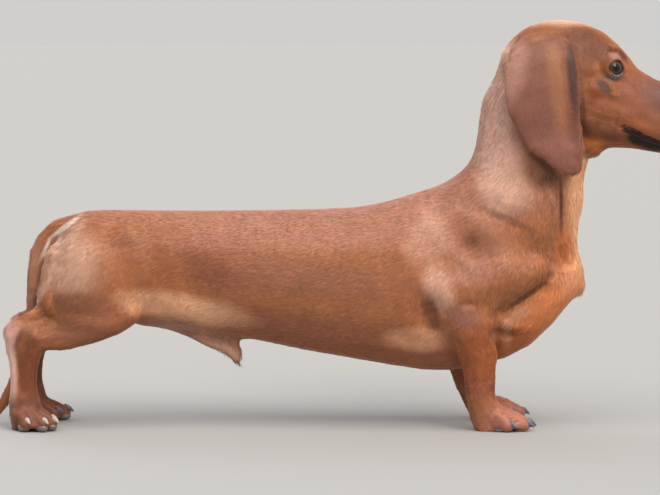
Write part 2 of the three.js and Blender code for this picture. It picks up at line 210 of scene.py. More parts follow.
# %% One net over all the flesh
EYES = ["eye_right", "eye_left"]
CLAWS = [name for name in frame["nodes"] if "claw" in name]
EARS = ["ear_right", "ear_left"]
FLESH = [name for name in frame["nodes"] if name not in EYES + CLAWS + ["nose"]]
NET_MM = 2.55  # size of the net's squares
EAR_GROWS = 1.5  # mm that an ear is thickened on each face
BACKING = {  # a second copy, moved so far from one height up to the other, closes the gap behind
    "ear_right": ((0, 3.4, 0), (236, 282)),
    "ear_left": ((0, -3.4, 0), (236, 282)),
    "tail_root": ((3.2, 0, 0), (96, 118)),
}


def node_object(name):
    found = bpy.data.objects.get(name)
    return found if found else next(o for o in bpy.data.objects if o.name.startswith(name))


melt = bmesh.new()
for name in FLESH + EYES:  # the balls of the eyes fill their sockets until the lids are made
    part = bmesh.new()
    part.from_mesh(node_object(name).data)
    bmesh.ops.remove_doubles(part, verts=part.verts, dist=1e-6)
    if name in EARS:
        part.normal_update()
        for v in part.verts:
            v.co += v.normal * EAR_GROWS / 1000
    if name in BACKING:
        backing = bmesh.ops.duplicate(part, geom=part.verts[:] + part.edges[:] + part.faces[:])["geom"]
        for v in [g for g in backing if isinstance(g, bmesh.types.BMVert)]:
            low, high = BACKING[name][1]
            rise = min(max((v.co.z * 1000 - low) / (high - low), 0), 1)
            v.co += Vector(BACKING[name][0]) * rise / 1000
    part_mesh = bpy.data.meshes.new("part")
    part.to_mesh(part_mesh)
    part.free()
    melt.from_mesh(part_mesh)
    bpy.data.meshes.remove(part_mesh)
skin_mesh = bpy.data.meshes.new("skin")
melt.to_mesh(skin_mesh)
melt.free()
skin = in_scene("skin", skin_mesh)
voxels = skin.modifiers.new("net", "REMESH")
voxels.mode = "VOXEL"
voxels.voxel_size = NET_MM / 1000
voxels.adaptivity = 0
melted = skin.evaluated_get(bpy.context.evaluated_depsgraph_get())
skin_mesh = bpy.data.meshes.new_from_object(melted)
skin.modifiers.clear()
skin.data = skin_mesh
print("net of", len(skin_mesh.vertices), "points")

# %% [markdown]
# Smoothing
#
# The net still shows the flat facets of the solids. Moving every point towards the middle of its
# neighbours melts them away, but it also shrinks what is thin. So the smoothing is done twice: the second
# pass measures how much the first one shrank the form, and that much is given back. The trunk has the
# largest facets and takes the most rounds, the toes almost none.

# %% Smoothing the net
ROUNDS = 52


def neighbours(mesh):
    """The neighbours of all points in one row, where each point's begin, and how many they are."""
    ends = read(mesh.edges, "vertices", 2, np.int32)
    here = np.concatenate([ends[:, 0], ends[:, 1]])
    there = np.concatenate([ends[:, 1], ends[:, 0]])
    order = np.argsort(here, kind="stable")
    here, there = here[order], there[order]
    first = np.flatnonzero(np.diff(here, prepend=-1))
    return there, first, np.diff(np.append(first, len(here)))[:, None]


def evened(values, around, share, rounds=1):
    """Each point's value moved by share towards the middle of its neighbours'."""
    there, first, count = around
    share = np.broadcast_to(share, len(values))[:, None]
    for _ in range(rounds):
        mean = np.add.reduceat(values[there], first, axis=0) / count
        values = values + share * (mean - values)
    return values


def smoothed(where, around, share, rounds):
    """Evened twice, so that what the first pass shrank is given back."""
    once = evened(where, around, share, rounds)
    return 2 * once - evened(once, around, share, rounds)


def ears_of_solids():
    """The CAD ears in millimetres, to tell which points of the net belong to an ear."""
    found = []
    corners = 0
    faces = []
    for name in EARS:
        mesh = node_object(name).data
        found.append(places(mesh))
        faces += [[i + corners for i in face.vertices] for face in mesh.polygons]
        corners += len(mesh.vertices)
    return BVHTree.FromPolygons(np.concatenate(found).tolist(), faces)


def share_of_ear(where, least_y, fade):
    """1 on the ears of the solids, and 0 from fade millimetres off them."""
    share = np.zeros(len(where))
    x, side_y, z = where[:, 0], np.abs(where[:, 1]), where[:, 2]
    for i in np.flatnonzero((x > 138) & (x < 224) & (side_y > least_y) & (z > 208)):
        share[i] = 1 - step(2.2, fade, ear_tree.find_nearest(where[i])[3])
    return share


body = places(skin_mesh)
x, side_y, z = body[:, 0], np.abs(body[:, 1]), body[:, 2]
ear_tree = ears_of_solids()
ear_share = share_of_ear(body, 22, 4.0)

trunk = step(-235, -205, x) * (1 - step(95, 160, x)) * step(60, 95, z)
throat = step(90, 150, x) * (1 - step(225, 250, x)) * step(55, 90, z)
head = step(140, 165, x) * step(225, 260, z)
muzzle = step(238, 262, x) * step(215, 230, z)
tail = (1 - step(-248, -236, x)) * (1 - step(12, 16, side_y)) * (1 - step(160, 172, z))
root_of_ear = step(272, 288, z) * (1 - step(160, 172, x)) * head  # runs into the nape without an edge
feet = 1 - step(22, 34, z)
melting = 0.07 + 0.93 * trunk  # how far each point is moved in a round, as a share of the most
melting = np.maximum(melting, 0.55 * throat)
for share, wanted in ((head, 0.3), (muzzle, 0.14), (ear_share, 0.32), (root_of_ear, 0.9), (tail, 0.03),
                      (feet, 0.008)):
    melting = melting + share * (wanted - melting)
around = neighbours(skin_mesh)
body = smoothed(body, around, 0.62 * melting, ROUNDS)
print("smoothed", len(body), "points")

# %% [markdown]
# Muscles, bones and folds
#
# What makes a short-haired dog look alive is the play of form under the skin: the shoulder blade, the
# hollow behind the elbow, the cord of the neck, the bony arch of the cheek. A sculptor adds them with two
# gestures, and so does this cell. A hill lifts or sinks a soft oval, and a furrow follows a line of points.
# Both push the net along its own normals, and both work on the two sides of the dog alike.

# %% Two sculpting gestures
def oval(where, centre, radii, turn=0.0):
    """1 in the middle of an oval and 0 from its edge on. turn tips it nose-up, in degrees."""
    off = np.stack([where[:, 0], np.abs(where[:, 1]), where[:, 2]], axis=1) - centre
    c, s = math.cos(math.radians(turn)), math.sin(math.radians(turn))
    along = off[:, 0] * c + off[:, 2] * s
    up = off[:, 2] * c - off[:, 0] * s
    reach = (along / radii[0]) ** 2 + (off[:, 1] / radii[1]) ** 2 + (up / radii[2]) ** 2
    return np.clip(1 - reach, 0, None) ** 2


def off_line(where, line):
    """Distance in the side view from each point to a line of [x, z] corners, and on which side it lies."""
    here = where[:, [0, 2]]
    best = np.full(len(here), 1e9)
    above = np.zeros(len(here))
    for a, b in zip(np.asarray(line[:-1], dtype=float), np.asarray(line[1:], dtype=float)):
        span = b - a
        share = np.clip(((here - a) @ span) / (span @ span), 0, 1)
        gap = here - (a + share[:, None] * span)
        distance = np.hypot(gap[:, 0], gap[:, 1])
        nearer = distance < best
        best = np.where(nearer, distance, best)
        above = np.where(nearer, np.sign(span[0] * gap[:, 1] - span[1] * gap[:, 0]), above)
    return best, above


def hills(where, facing, shapes):
    """shapes holds (centre, radii, turn, height). A negative height makes a hollow."""
    lift = np.zeros(len(where))
    for centre, radii, turn, height in shapes:
        lift += height * oval(where, centre, radii, turn)
    return where + facing * lift[:, None]


def furrows(where, facing, lines):
    """lines holds (depth, width, least y, corners). A negative depth makes a ridge."""
    lift = np.zeros(len(where))
    outwards = np.abs(where[:, 1])
    for depth, width, inner, line in lines:
        distance, _ = off_line(where, line)
        lift -= depth * np.exp(-(distance / width) ** 2) * step(inner - 3, inner + 3, outwards)
    return where + facing * lift[:, None]


# %% Trunk and legs
TRUNK_HILLS = [
    ((84, 58, 99), (19, 16, 30), 20, -5.0),  # hollow behind the elbow
    ((100, 62, 126), (20, 18, 27), 20, 3.6),  # long head of the triceps
    ((118, 54, 158), (17, 20, 16), 0, -3.0),  # hollow between blade and arm
    ((146, 50, 138), (26, 20, 24), -30, 2.6),  # muscle over the shoulder joint
    ((190, 38, 130), (15, 14, 14), 0, 3.0),  # point of the shoulder
    ((119, 62, 110), (11, 10, 5), 0, -1.5),
    ((92, 60, 95), (10, 12, 10), 0, 1.8),  # elbow
    ((120, 24, 196), (34, 12, 16), -48, 2.0),  # top of the shoulder blade
    ((78, 52, 150), (20, 24, 34), 25, -1.8),  # behind the blade
    ((216, 0, 118), (10, 16, 12), 0, 1.6),  # tip of the breastbone
    ((-118, 48, 126), (34, 24, 34), -25, -3.6),  # hollow of the flank
    ((-60, 54, 120), (60, 24, 44), 0, 1.4),  # last ribs
    ((-172, 40, 168), (16, 14, 13), 0, 2.2),  # hip bone
    ((-200, 46, 140), (30, 20, 34), 15, 1.8),  # muscle of the thigh
    ((-163, 46, 99), (17, 14, 15), 0, 2.4),  # kneecap
    ((-182, 40, 88), (34, 26, 14), 22, 3.0),  # calf
    ((-205, 50, 92), (26, 10, 10), -8, 1.6),
    ((-240, 44, 101), (20, 16, 9), -20, -2.0),  # hollow before the tendon of the hock
    ((-251, 48, 81), (9, 8, 10), 0, 2.2),  # knob of the ankle
    ((-233, 18, 158), (10, 10, 12), 0, 2.0),  # seat bone
    ((140, 46, 42), (10, 14, 12), 0, 2.0),  # wrist
    ((141, 46, 66), (9, 14, 16), 0, 1.6),
    ((-110, 26, 88), (40, 16, 12), -20, 1.2),
]
TRUNK_FURROWS = [
    (3.4, 4.2, 26, [(188, 131), (182, 124), (166, 113), (146, 102)]),  # under the shoulder joint
    (-2.2, 4.5, 34, [(144, 92), (160, 86), (172, 86)]),  # fold of skin before the arm
    (2.2, 4.0, 34, [(143, 84), (158, 78), (170, 78)]),
    (4.2, 4.8, 16, [(184, 212), (194, 196), (196, 181), (193, 156), (199, 142)]),  # groove of the neck vein
    (-2.4, 9.0, 18, [(168, 236), (176, 200), (178, 168), (180, 145)]),  # long cord of the neck
    (2.0, 8.0, 20, [(116, 194), (138, 188), (158, 180)]),  # before the shoulder blade
    (1.6, 9.0, 34, [(-150, 152), (-141, 124), (-150, 96)]),  # front edge of the thigh
    (1.8, 5.0, 20, [(-226, 166), (-236, 130), (-232, 106)]),  # between the two hamstrings
    (1.5, 3.0, 38, [(-266, 68), (-262, 48), (-260, 34)]),  # before the tendon
    (1.2, 4.0, 44, [(137, 84), (136, 62), (133, 46)]),
    (1.2, 3.6, 50, [(106, 78), (114, 58), (118, 44)]),
    (0.12, 1.5, 40, [(124, 53), (131, 54), (138, 51)]),  # folds of skin over the wrist
    (0.14, 1.5, 40, [(115, 43), (122, 45), (129, 44)]),
    (0.14, 1.4, 40, [(128, 39), (135, 39), (142, 35)]),
    (1.3, 1.8, 46, [(137, 19), (133, 12), (134, 1)]),  # behind the outer toe
]
put(skin_mesh, body)
facing = normals(skin_mesh)
body = hills(body, facing, TRUNK_HILLS)
body = furrows(body, facing, TRUNK_FURROWS)
print("sculpted", len(TRUNK_HILLS), "hills and", len(TRUNK_FURROWS), "furrows")

# %% Head
HEAD_HILLS = [
    ((236, 25, 320), (13, 10, 7), -42, 2.6),  # bony brow
    ((247, 24, 290), (15, 9, 7), -12, -2.0),  # hollow under the eye
    ((228, 34, 287), (24, 10, 7), -12, 1.6),  # cheekbone
    ((222, 38, 268), (20, 14, 20), 0, 1.4),  # cheek
    ((212, 38, 258), (17, 12, 15), 0, 1.6),
    ((188, 30, 326), (26, 16, 14), 15, 1.2),  # muscle of the temple
    ((222, 0, 346), (26, 8, 14), -28, -1.2),  # furrow between the brows
    ((254, 12, 312), (10, 6, 8), -50, 1.0),
    ((147, 0, 309), (17, 30, 17), 60, 5.0),  # nape
    ((225, 6, 234), (13, 18, 8), 0, 2.4),  # throat skin hanging by the ear
    ((306, 20, 252), (20, 8, 11), 0, 1.8),  # pad of the whiskers
    ((282, 20, 268), (26, 8, 8), -12, -1.0),  # side of the nose bridge
    ((262, 20, 262), (16, 8, 10), 0, -0.8),
    ((222, 14, 238), (13, 16, 9), 0, 1.2),  # loose skin of the throat
    ((326, 0, 240), (12, 14, 10), 0, 0.8),  # chin
]
HEAD_FURROWS = [
    (3.0, 3.4, -9, [(213, 227), (217, 230), (220, 229)]),  # under the hanging throat
    (2.0, 3.2, 16, [(209, 252), (220, 245), (232, 243.5), (249, 240)]),  # lower edge of the cheek muscle
    (0.5, 2.2, 20, [(219, 276), (230, 270), (243, 267)]),  # folds of the cheek
    (0.5, 2.0, 20, [(222, 266), (232, 263), (242, 262)]),
    (0.6, 1.8, 20, [(241, 260), (245, 256), (247, 251)]),
    (1.7, 2.0, 12, [(234, 317), (241, 320), (247.5, 318), (250.5, 311), (249.5, 304)]),  # over the eye
    (0.9, 2.6, 12, [(231, 303), (225, 299), (219, 297)]),  # from the outer corner backwards
]
EAR_FURROWS = [
    (-1.2, 3.0, 28, [(153, 316), (166, 326), (179, 332), (195, 334), (203, 332)]),  # fold over the ear
    (-1.3, 3.4, 34, [(202, 326), (206.5, 305), (207, 282), (209, 262), (211.5, 236)]),  # rolled front edge
    (1.2, 5.0, 34, [(193, 322), (197, 300), (198, 276), (203, 246)]),
]
put(skin_mesh, body)
facing = normals(skin_mesh)
shaped = furrows(hills(body, facing, HEAD_HILLS), facing, HEAD_FURROWS)
body = shaped + ear_share[:, None] * (body - shaped)  # the ears hang over the head and keep their form
folded = furrows(body, facing, EAR_FURROWS)
body = body + step(0.35, 0.8, np.abs(facing[:, 1]))[:, None] * (folded - body)  # the ear's rim stays even
put(skin_mesh, body)
print("sculpted the head")

# %% [markdown]
# A finer net where the detail is
#
# Squares of two millimetres are plenty for a shoulder, but an eyelid or a lip is no thicker than that.
# Cutting only the faces of the face, the feet, the eyes and the lips into four keeps the whole skin light.
# It happens before these details are modelled, so that each has points enough to take its form.

# %% Cutting the net finer around eyes, lips and paws
EYE = np.array([237.8, 24.4, 305.4])
EYE_RADIUS = 10.0
LIP_LINE = [(246, 254.6), (251, 253), (259, 249.3), (267, 244.6), (279, 239.6), (292, 236.6), (304, 236.4),
            (315, 238.2), (325, 241.4), (336, 244.4)]
PAWS = [
    # name, place of its middle, degrees that it is turned to the left, height of the claws' roots
    ("fore_right", (137, -43), -10, 7.8),
    ("fore_left", (136, 43), 21, 7.8),
    ("hind_right", (-259.5, -36), -41, 10.6),
    ("hind_left", (-257, 36), 14, 10.6),
]
TOES = {  # turn, longer by, across
    "fore": [(16, -15, 9.8), (4.5, 0, 3.3), (-4.5, 0, -3.3), (-16, -15, -9.8)],
    "hind": [(16, -12, 9.8), (4.5, 0, 3.3), (-4.5, 0, -3.3), (-16, -12, -9.8)],
}
TOE_TIP = 32.5
TOE_MELT = 0.75  # mm over which two toes run into each other
TOES_SINK = {"fore": 1.2, "hind": 0.0}  # mm that the toes lie lower
TOE_SPINE = [  # share of the toe's length, height, radius
    (0.05, 13.5, 6.4),
    (0.40, 14.0, 6.0),
    (0.60, 11.6, 5.2),
    (0.83, 7.0, 5.6),
]


def off_eye(where):
    """Distance from the middle of the nearer eye."""
    return np.linalg.norm(np.stack([where[:, 0] - EYE[0], np.abs(where[:, 1]) - EYE[1],
                                    where[:, 2] - EYE[2]], axis=1), axis=1)


def refine(mesh, wanted):
    """Cuts the faces between wanted points into four."""
    net = bmesh.new()
    net.from_mesh(mesh)
    net.verts.ensure_lookup_table()
    edges = [e for e in net.edges if wanted[e.verts[0].index] and wanted[e.verts[1].index]]
    bmesh.ops.subdivide_edges(net, edges=edges, cuts=1, use_grid_fill=True)
    bmesh.ops.triangulate(net, faces=[f for f in net.faces if len(f.verts) > 4])
    net.to_mesh(mesh)
    net.free()


def near_lips(where, reach):
    return (off_line(where, LIP_LINE)[0] < reach) & (where[:, 0] > 238)


body = places(skin_mesh)
on_face = (body[:, 0] > 222) & (body[:, 2] > 232)
on_foot = np.zeros(len(body), dtype=bool)
for _, middle, heading, _ in PAWS:
    ahead = 16 * np.array([math.cos(math.radians(heading)), math.sin(math.radians(heading))])
    on_foot |= np.hypot(body[:, 0] - middle[0] - ahead[0], body[:, 1] - middle[1] - ahead[1]) < 27
on_foot &= (body[:, 2] < 23) & (body[:, 2] > 0.8)
refine(skin_mesh, on_face | on_foot)
body = places(skin_mesh)
refine(skin_mesh, (off_eye(body) < 19) | near_lips(body, 4.5))
body = places(skin_mesh)
around = neighbours(skin_mesh)
print("finer net of", len(body), "points")

# %% [markdown]
# Eyelids
#
# Seen from the front an eyelid is a thick-edged curtain that lies on the ball of the eye. So around each
# eye every point of the skin is given a distance from the ball's centre: just behind the ball's surface
# inside the almond-shaped opening, and one lid's thickness in front of it outside. Farther out the old form
# returns, and a crease is left over the upper lid.

# %% Eye sockets and lids
GAZE = unit(np.array([0.36, 0.93, 0.05]))  # of the left eye; the right one mirrors it
GAZE_FORWARD = unit(np.cross(GAZE, (0, 0, 1)))
GAZE_FORWARD = GAZE_FORWARD * np.sign(GAZE_FORWARD[0])
GAZE_UP = unit(np.cross(GAZE_FORWARD, GAZE))
GAZE_UP = GAZE_UP * np.sign(GAZE_UP[2])
OPENING = [  # angle from straight forward, reach of the opening in mm
    (0, 6.6), (36, 7.3), (64, 7.2), (88, 6.0), (112, 5.1), (145, 5.1), (176, 6.2), (205, 5.5), (232, 5.5),
    (260, 6.1), (285, 6.6), (315, 7.0), (336, 9.2), (348, 7.2), (360, 6.6),
]
OPENING_MM = 6  # about the opening's mean reach
LID_MM = 1.1  # thickness of a lid
SUNK_MM = 1.6  # how far the skin inside the opening lies under the ball's surface


def opening_reach(angle):
    """How far the opening between the lids reaches in this direction."""
    reach = 0
    for nudge in (-20, -10, 0, 10, 20):
        reach += np.interp((np.degrees(angle) + nudge) % 360, [row[0] for row in OPENING],
                           [row[1] for row in OPENING]) / 5
    return reach


def opening(forward, up):
    """1 on the edge of the lids, less inside the opening and more outside."""
    return np.hypot(forward, up) / opening_reach(np.arctan2(up, forward))


def around_eye(where, side):
    """Points near an eye: numbers, distance from its middle, the same along the gaze, mm off the opening."""
    near = np.flatnonzero((off_eye(where) < 24) & (where[:, 1] * side > 8))
    off = (where[near] - EYE * (1, side, 1)) * (1, side, 1)
    forward, up, out = off @ GAZE_FORWARD, off @ GAZE_UP, off @ GAZE
    reach = np.sqrt(forward ** 2 + up ** 2 + out ** 2)
    onto = EYE_RADIUS / reach
    return near, reach, out, (opening(forward * onto, up * onto) - 1) * OPENING_MM


for side in (-1, 1):
    near, reach, out, edge = around_eye(body, side)
    lid = EYE_RADIUS - SUNK_MM + (SUNK_MM + LID_MM) * step(-0.9, 0.15, edge)
    lid += 0.4 * np.exp(-((edge - 1.4) / 1.2) ** 2)  # the lid's thick rim
    blend = step(2.5, 8.0, edge)
    wanted = lid + (np.maximum(reach, EYE_RADIUS + 0.6) - lid) * blend
    facing_out = step(-0.5, 2.5, out)
    share = np.where(edge < 1.0, 1.0, 1 - step(6, 11, edge)) * facing_out
    scale = 1 + share * (wanted / reach - 1)
    centre = EYE * (1, side, 1)
    body[near] = centre + (body[near] - centre) * scale[:, None]
    settling = np.zeros(len(body))
    settling[near] = 0.4 * step(1.5, 3.5, edge) * facing_out
    body = evened(body, around, settling, 5)
# The lids' edge stays sharp, and the ring where the old form returns is evened once more.
seam = step(12.5, 16, off_eye(body)) * (1 - step(21, 25, off_eye(body)))
body = evened(body, around, 0.5 * seam, 5)
print("lids over two eyes")

# %% [markdown]
# Lips and toes
#
# The upper lip hangs a little over the lower one and ends in a thin edge, so the skin just above the line
# of the mouth is pushed out and the skin below it is drawn in. A paw ends in four round toes that touch.
# Each toe is a chain of balls, four chains are melted into one surface, and the skin of the paw is drawn
# onto that surface in a few rounds. So the grooves between the toes come by themselves.

# %% Lips
put(skin_mesh, body)
facing = normals(skin_mesh)
distance, above = off_line(body, LIP_LINE)
signed = distance * -above
on_lip = step(243, 249, body[:, 0])
overhang = 0.7 * np.exp(-((signed - 2.2) / 2.6) ** 2)
undercut = -1.5 * np.exp(-((signed + 0.7) / 0.9) ** 2) - 0.8 * step(-11, -2, signed) * (signed < 0)
body = body + facing * ((overhang + undercut) * on_lip * (distance < 12))[:, None]
print("lip line", LIP_LINE[0], "to", LIP_LINE[-1])


# %% Toes
def in_paw(where, middle, turn):
    """Places as seen from the middle of a paw: along its heading, and across to the left."""
    c, s = math.cos(math.radians(turn)), math.sin(math.radians(turn))
    off = where[:, :2] - middle
    return off[:, 0] * c + off[:, 1] * s, off[:, 1] * c - off[:, 0] * s


def toe_surface(toes, forward, across, up):
    """How far a place lies outside the four toes, which run softly into each other."""
    total = np.zeros(len(forward))
    for turn, longer, beside in toes:
        c, s = math.cos(math.radians(turn)), math.sin(math.radians(turn))
        along = forward * c + (across - beside) * s
        aside = ((across - beside) * c - forward * s) * 1.22
        tip = TOE_TIP + longer
        nearest = np.full(len(forward), 1e9)
        for joint_a, joint_b in zip(TOE_SPINE[:-1], TOE_SPINE[1:]):
            share_a, height_a, radius_a = joint_a
            share_b, height_b, radius_b = joint_b
            span = np.array([(share_b - share_a) * tip, height_b - height_a])
            t = ((along - share_a * tip) * span[0] + (up - height_a) * span[1]) / (span @ span)
            t = np.clip(t, 0, 1)
            off = np.sqrt((along - share_a * tip - t * span[0]) ** 2 + (up - height_a - t * span[1]) ** 2
                          + aside ** 2)
            nearest = np.minimum(nearest, off - radius_a - t * (radius_b - radius_a))
        total += np.exp(-nearest / TOE_MELT)
    return -TOE_MELT * np.log(total)


for name, middle, turn, _ in PAWS:
    off_paw = np.hypot(body[:, 0] - middle[0], body[:, 1] - middle[1])
    near = np.flatnonzero((off_paw < 50) & (body[:, 2] < 25))
    start = body[near].copy()
    for _ in range(7):
        forward, across = in_paw(body[near], middle, turn)
        sink = np.array((0, 0, TOES_SINK[name[:4]]))
        off = toe_surface(TOES[name[:4]], forward, across, body[near, 2] + sink[2])
        slope = np.empty((len(near), 3))
        for axis in range(3):
            nudge = np.zeros(3)
            nudge[axis] = 0.05
            moved = body[near] + nudge + sink
            slope[:, axis] = toe_surface(TOES[name[:4]], *in_paw(moved, middle, turn), moved[:, 2]) - off
        body[near] -= unit(slope) * np.clip(off, -2, 2)[:, None] * 0.8
    forward, across = in_paw(start, middle, turn)
    share = step(2, 13, forward) * (1 - step(13, 23, start[:, 2]))
    body[near] = start + share[:, None] * (body[near] - start)
    ball = (1 - step(3, 6.5, body[near, 2])) * step(-14, -8, forward) * (1 - step(10, 15, forward))
    body[near, 2] *= 1 - ball * (1 - step(11, 14, np.abs(across)))  # the ball of the foot bears on the floor
body[:, 2] = np.maximum(body[:, 2], 0.15)
body = evened(body, around, 0.3 * (1 - step(24, 32, body[:, 2])), 1)
print("parted the toes")


# %% The finished skin
LONG_HAIR = [
    # centre, radii, where it begins and is full, mm longer, degrees that it stands higher
    ((-234, 14, 140), (16, 18, 40), (0.15, 0.6), 2.0, 4.0),  # buttock
    ((219, 0, 114), (7, 9, 9), (0.1, 0.6), 2.0, 5.0),  # tip of the breastbone
    ((-85, 0, 58), (22, 14, 12), (0.1, 0.5), 1.5, 3.0),  # sheath
]


def coat_length(where):
    """Length of the hair in millimetres: short on face, ears and feet, longer behind and below."""
    x, side_y, z = where[:, 0], np.abs(where[:, 1]), where[:, 2]
    length = np.full(len(where), 7.2)
    length -= 2.2 * (1 - step(70, 105, z)) * (step(80, 92, x) + (1 - step(-205, -150, x)))
    length += (4.0 - length) * step(150, 185, x) * step(222, 250, z)
    length += (2.8 - length) * step(240, 275, x) * step(228, 236, z)
    length += (1.9 - length) * (1 - step(11, 17, off_eye(where)))
    length += (3.2 - length) * step(30, 38, side_y) * step(214, 230, z) * (1 - step(206, 214, x))
    length += (3.3 - length) * (1 - step(20, 40, z))
    for centre, radii, (begin, full), longer, _ in LONG_HAIR:
        length += longer * step(begin, full, oval(where, centre, radii))
    return length


COAT_DEPTH = 0.12  # how far the skin lies under the coat, as a share of the hair's length

put(skin_mesh, body)
facing = normals(skin_mesh)
depth = COAT_DEPTH * coat_length(body)
depth[body[:, 2] < 1.5] = 0
body = body - facing * depth[:, None]
body[:, 2] = np.maximum(body[:, 2], 0.15)
put(skin_mesh, body)
facing = normals(skin_mesh)
skin_mesh.shade_smooth()

distance, above = off_line(body, LIP_LINE)
signed = distance * -above  # mm above the line of the mouth
lips = step(-5.4, -3.8, signed) * (1 - step(1.6, 3.2, signed)) * (distance < 8)
lips *= step(243, 250, body[:, 0]) * (facing[:, 2] > -0.75)
bare = np.maximum(0, lips)
for side in (-1, 1):
    near, _, out, edge = around_eye(body, side)
    bare[near] = np.maximum(bare[near], 0.6 * (1 - step(0.5, 1.7, edge)) * (out > 0))
bare = np.maximum(bare, (1 - step(0.6, 2.0, body[:, 2])) * (facing[:, 2] < 0.2))
off_nose = np.linalg.norm((body - (332, 0, 270.5)) / (11.6, 14.6, 10.6), axis=1)
bare = np.maximum(bare, 1 - step(1.0, 1.12, off_nose))
groove = (1 - step(0.7, 1.5, np.abs(body[:, 1]))) * step(318, 322, body[:, 0])
groove *= step(243, 246, body[:, 2]) * (1 - step(262, 266, body[:, 2]))
bare = np.maximum(bare, groove)
ear = share_of_ear(body, 26, 3.4)
tag(skin_mesh, "bare", bare)
tag(skin_mesh, "ear", ear)
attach(skin, "root")
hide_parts(*FLESH)
skin_mesh.calc_loop_triangles()
print("skin of", len(skin_mesh.loop_triangles), "triangles")


# %% [markdown]
# Eyes
#
# An eye is a ball with a steeper clear window, the cornea, bulging in front. A sphere turned so that its
# pole looks along the gaze gives rings of points round the pole, and lifting the first rings makes the
# cornea. The brown iris and the black pupil are painted by the distance from that pole, and the clear
# window is the coat layer of the shader, which gives the small hard highlight.

# %% Eyeballs
def new_piece(name, net, slot, *replaced):
    """Turns a bmesh in millimetres before the camera into a piece of the dog."""
    mesh = bpy.data.meshes.new(name)
    net.normal_update()  # the next line reads them, and the points have been moved since
    bmesh.ops.recalc_face_normals(net, faces=net.faces)
    net.to_mesh(mesh)
    net.free()
    put(mesh, read(mesh.vertices, "co", 3))
    mesh.shade_smooth()
    piece = in_scene(name, mesh)
    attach(piece, "root")
    if replaced:
        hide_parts(*replaced)
    return piece


CORNEA_MM = 6.6  # half across
CORNEA_BULGE = 0.9  # mm at its middle
BEHIND = 20  # counts as far from the pole: the half of the ball that looks inwards
eyes = []
for side, label in ((-1, "right"), (1, "left")):
    ball = bmesh.new()
    bmesh.ops.create_uvsphere(ball, u_segments=40, v_segments=28, radius=EYE_RADIUS - 0.25)
    gaze = Vector(GAZE * (1, side, 1))
    centre = Vector(EYE * (1, side, 1))
    turned = gaze.to_track_quat("Z", "Y").to_matrix()
    for v in ball.verts:
        off_pole = math.hypot(v.co.x, v.co.y)
        if v.co.z > 0 and off_pole < CORNEA_MM:
            v.co *= 1 + CORNEA_BULGE / EYE_RADIUS * (1 - (off_pole / CORNEA_MM) ** 2)
        v.co = turned @ v.co + centre
    eyes.append(new_piece(f"eyeball_{label}", ball, "eye", f"eye_{label}"))
    spread = places(eyes[-1].data) - EYE * (1, side, 1)
    out = spread @ (GAZE * (1, side, 1))
    across = np.sqrt(np.maximum(np.linalg.norm(spread, axis=1) ** 2 - out ** 2, 0))
    tag(eyes[-1].data, "from_pole", np.where(out > 0, across, BEHIND))
print("2 eyeballs")

# %% Rims of the lids
RIM_MM = 0.36  # half the thickness of the moist rim
RIM_POINTS = 60

curve = bpy.data.curves.new("lid_rims", "CURVE")
curve.dimensions = "3D"
curve.bevel_depth = RIM_MM / 1000
curve.bevel_resolution = 3
curve.use_fill_caps = True
for side in (-1, 1):
    line = curve.splines.new("POLY")
    line.points.add(RIM_POINTS - 1)
    line.use_cyclic_u = True
    for point, angle in zip(line.points, np.linspace(0, 2 * np.pi, RIM_POINTS, endpoint=False)):
        reach = opening_reach(angle) * 1.02
        forward, up = reach * math.cos(angle), reach * math.sin(angle)
        out = math.sqrt((EYE_RADIUS + 0.5) ** 2 - reach ** 2)
        spot = EYE + forward * GAZE_FORWARD + up * GAZE_UP + out * GAZE
        point.co = (*metres(spot * (1, side, 1)), 1)
carrier = bpy.data.objects.new("lid_rims", curve)
rim_mesh = bpy.data.meshes.new_from_object(carrier)
bpy.data.objects.remove(carrier)
rim_mesh.shade_smooth()
lid_rims = in_scene("lid_rims", rim_mesh)
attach(lid_rims, "root")
print("lid rims")

# %% [markdown]
# Nose
#
# The end of a dog's nose is a pad of bare leather with two comma-shaped nostrils that open to the front
# and run out to the sides, and a groove down the middle. A sphere of even triangles is squared off into
# the pad, and the same sculpting gestures as on the skin press the nostrils and the groove into it.

# %% Nose pad
pad = bmesh.new()
bmesh.ops.create_icosphere(pad, subdivisions=6, radius=1)
for v in pad.verts:
    squared = [math.copysign(abs(c) ** 0.82, c) for c in v.co]
    v.co = Vector((332.2 + 10.4 * squared[0], 13.2 * squared[1], 271.2 + 9.0 * squared[2]))
nose = new_piece("nose_pad", pad, "nose_leather", "nose")
shape = places(nose.data)
shape[:, 2] += 1.2 * step(338, 326, shape[:, 0]) - 0.10 * np.maximum(shape[:, 0] - 330, 0)
shape[:, 1] *= 1 - 0.16 * step(270, 261, shape[:, 2])
put(nose.data, shape)
NOSTRILS = [  # three hollows, then the two swellings around them
    ((342.5, 5.6, 272.2), (5.5, 3.1, 3.6), 0, -4.4),
    ((340.5, 8.8, 270.2), (6.0, 3.6, 2.2), 0, -3.2),
    ((337.5, 12.2, 269.2), (5.5, 4.0, 1.7), 0, -2.4),
    ((340.0, 6.8, 276.2), (7.0, 6.0, 3.6), 0, 0.9),
    ((341.0, 9.6, 266.0), (6.0, 4.0, 3.0), 0, 0.6),
]
# how deep in a nostril each point lies; the leather paints these places near-black as painted shade
sunk = np.zeros(len(shape))
for centre, radii, turn, height in NOSTRILS[:3]:
    sunk = np.maximum(sunk, step(0.05, 0.45, oval(shape, centre, radii, turn)))
tag(nose.data, "deep", sunk)
shape = hills(shape, normals(nose.data), NOSTRILS)
put(nose.data, shape)
groove = np.exp(-(shape[:, 1] / 0.9) ** 2) * step(336, 340, shape[:, 0])
shape = shape - normals(nose.data) * (1.1 * groove)[:, None]
shape[:, 0] = np.minimum(shape[:, 0], 342.4)
put(nose.data, shape)
print("nose pad of", len(nose.data.vertices), "points")

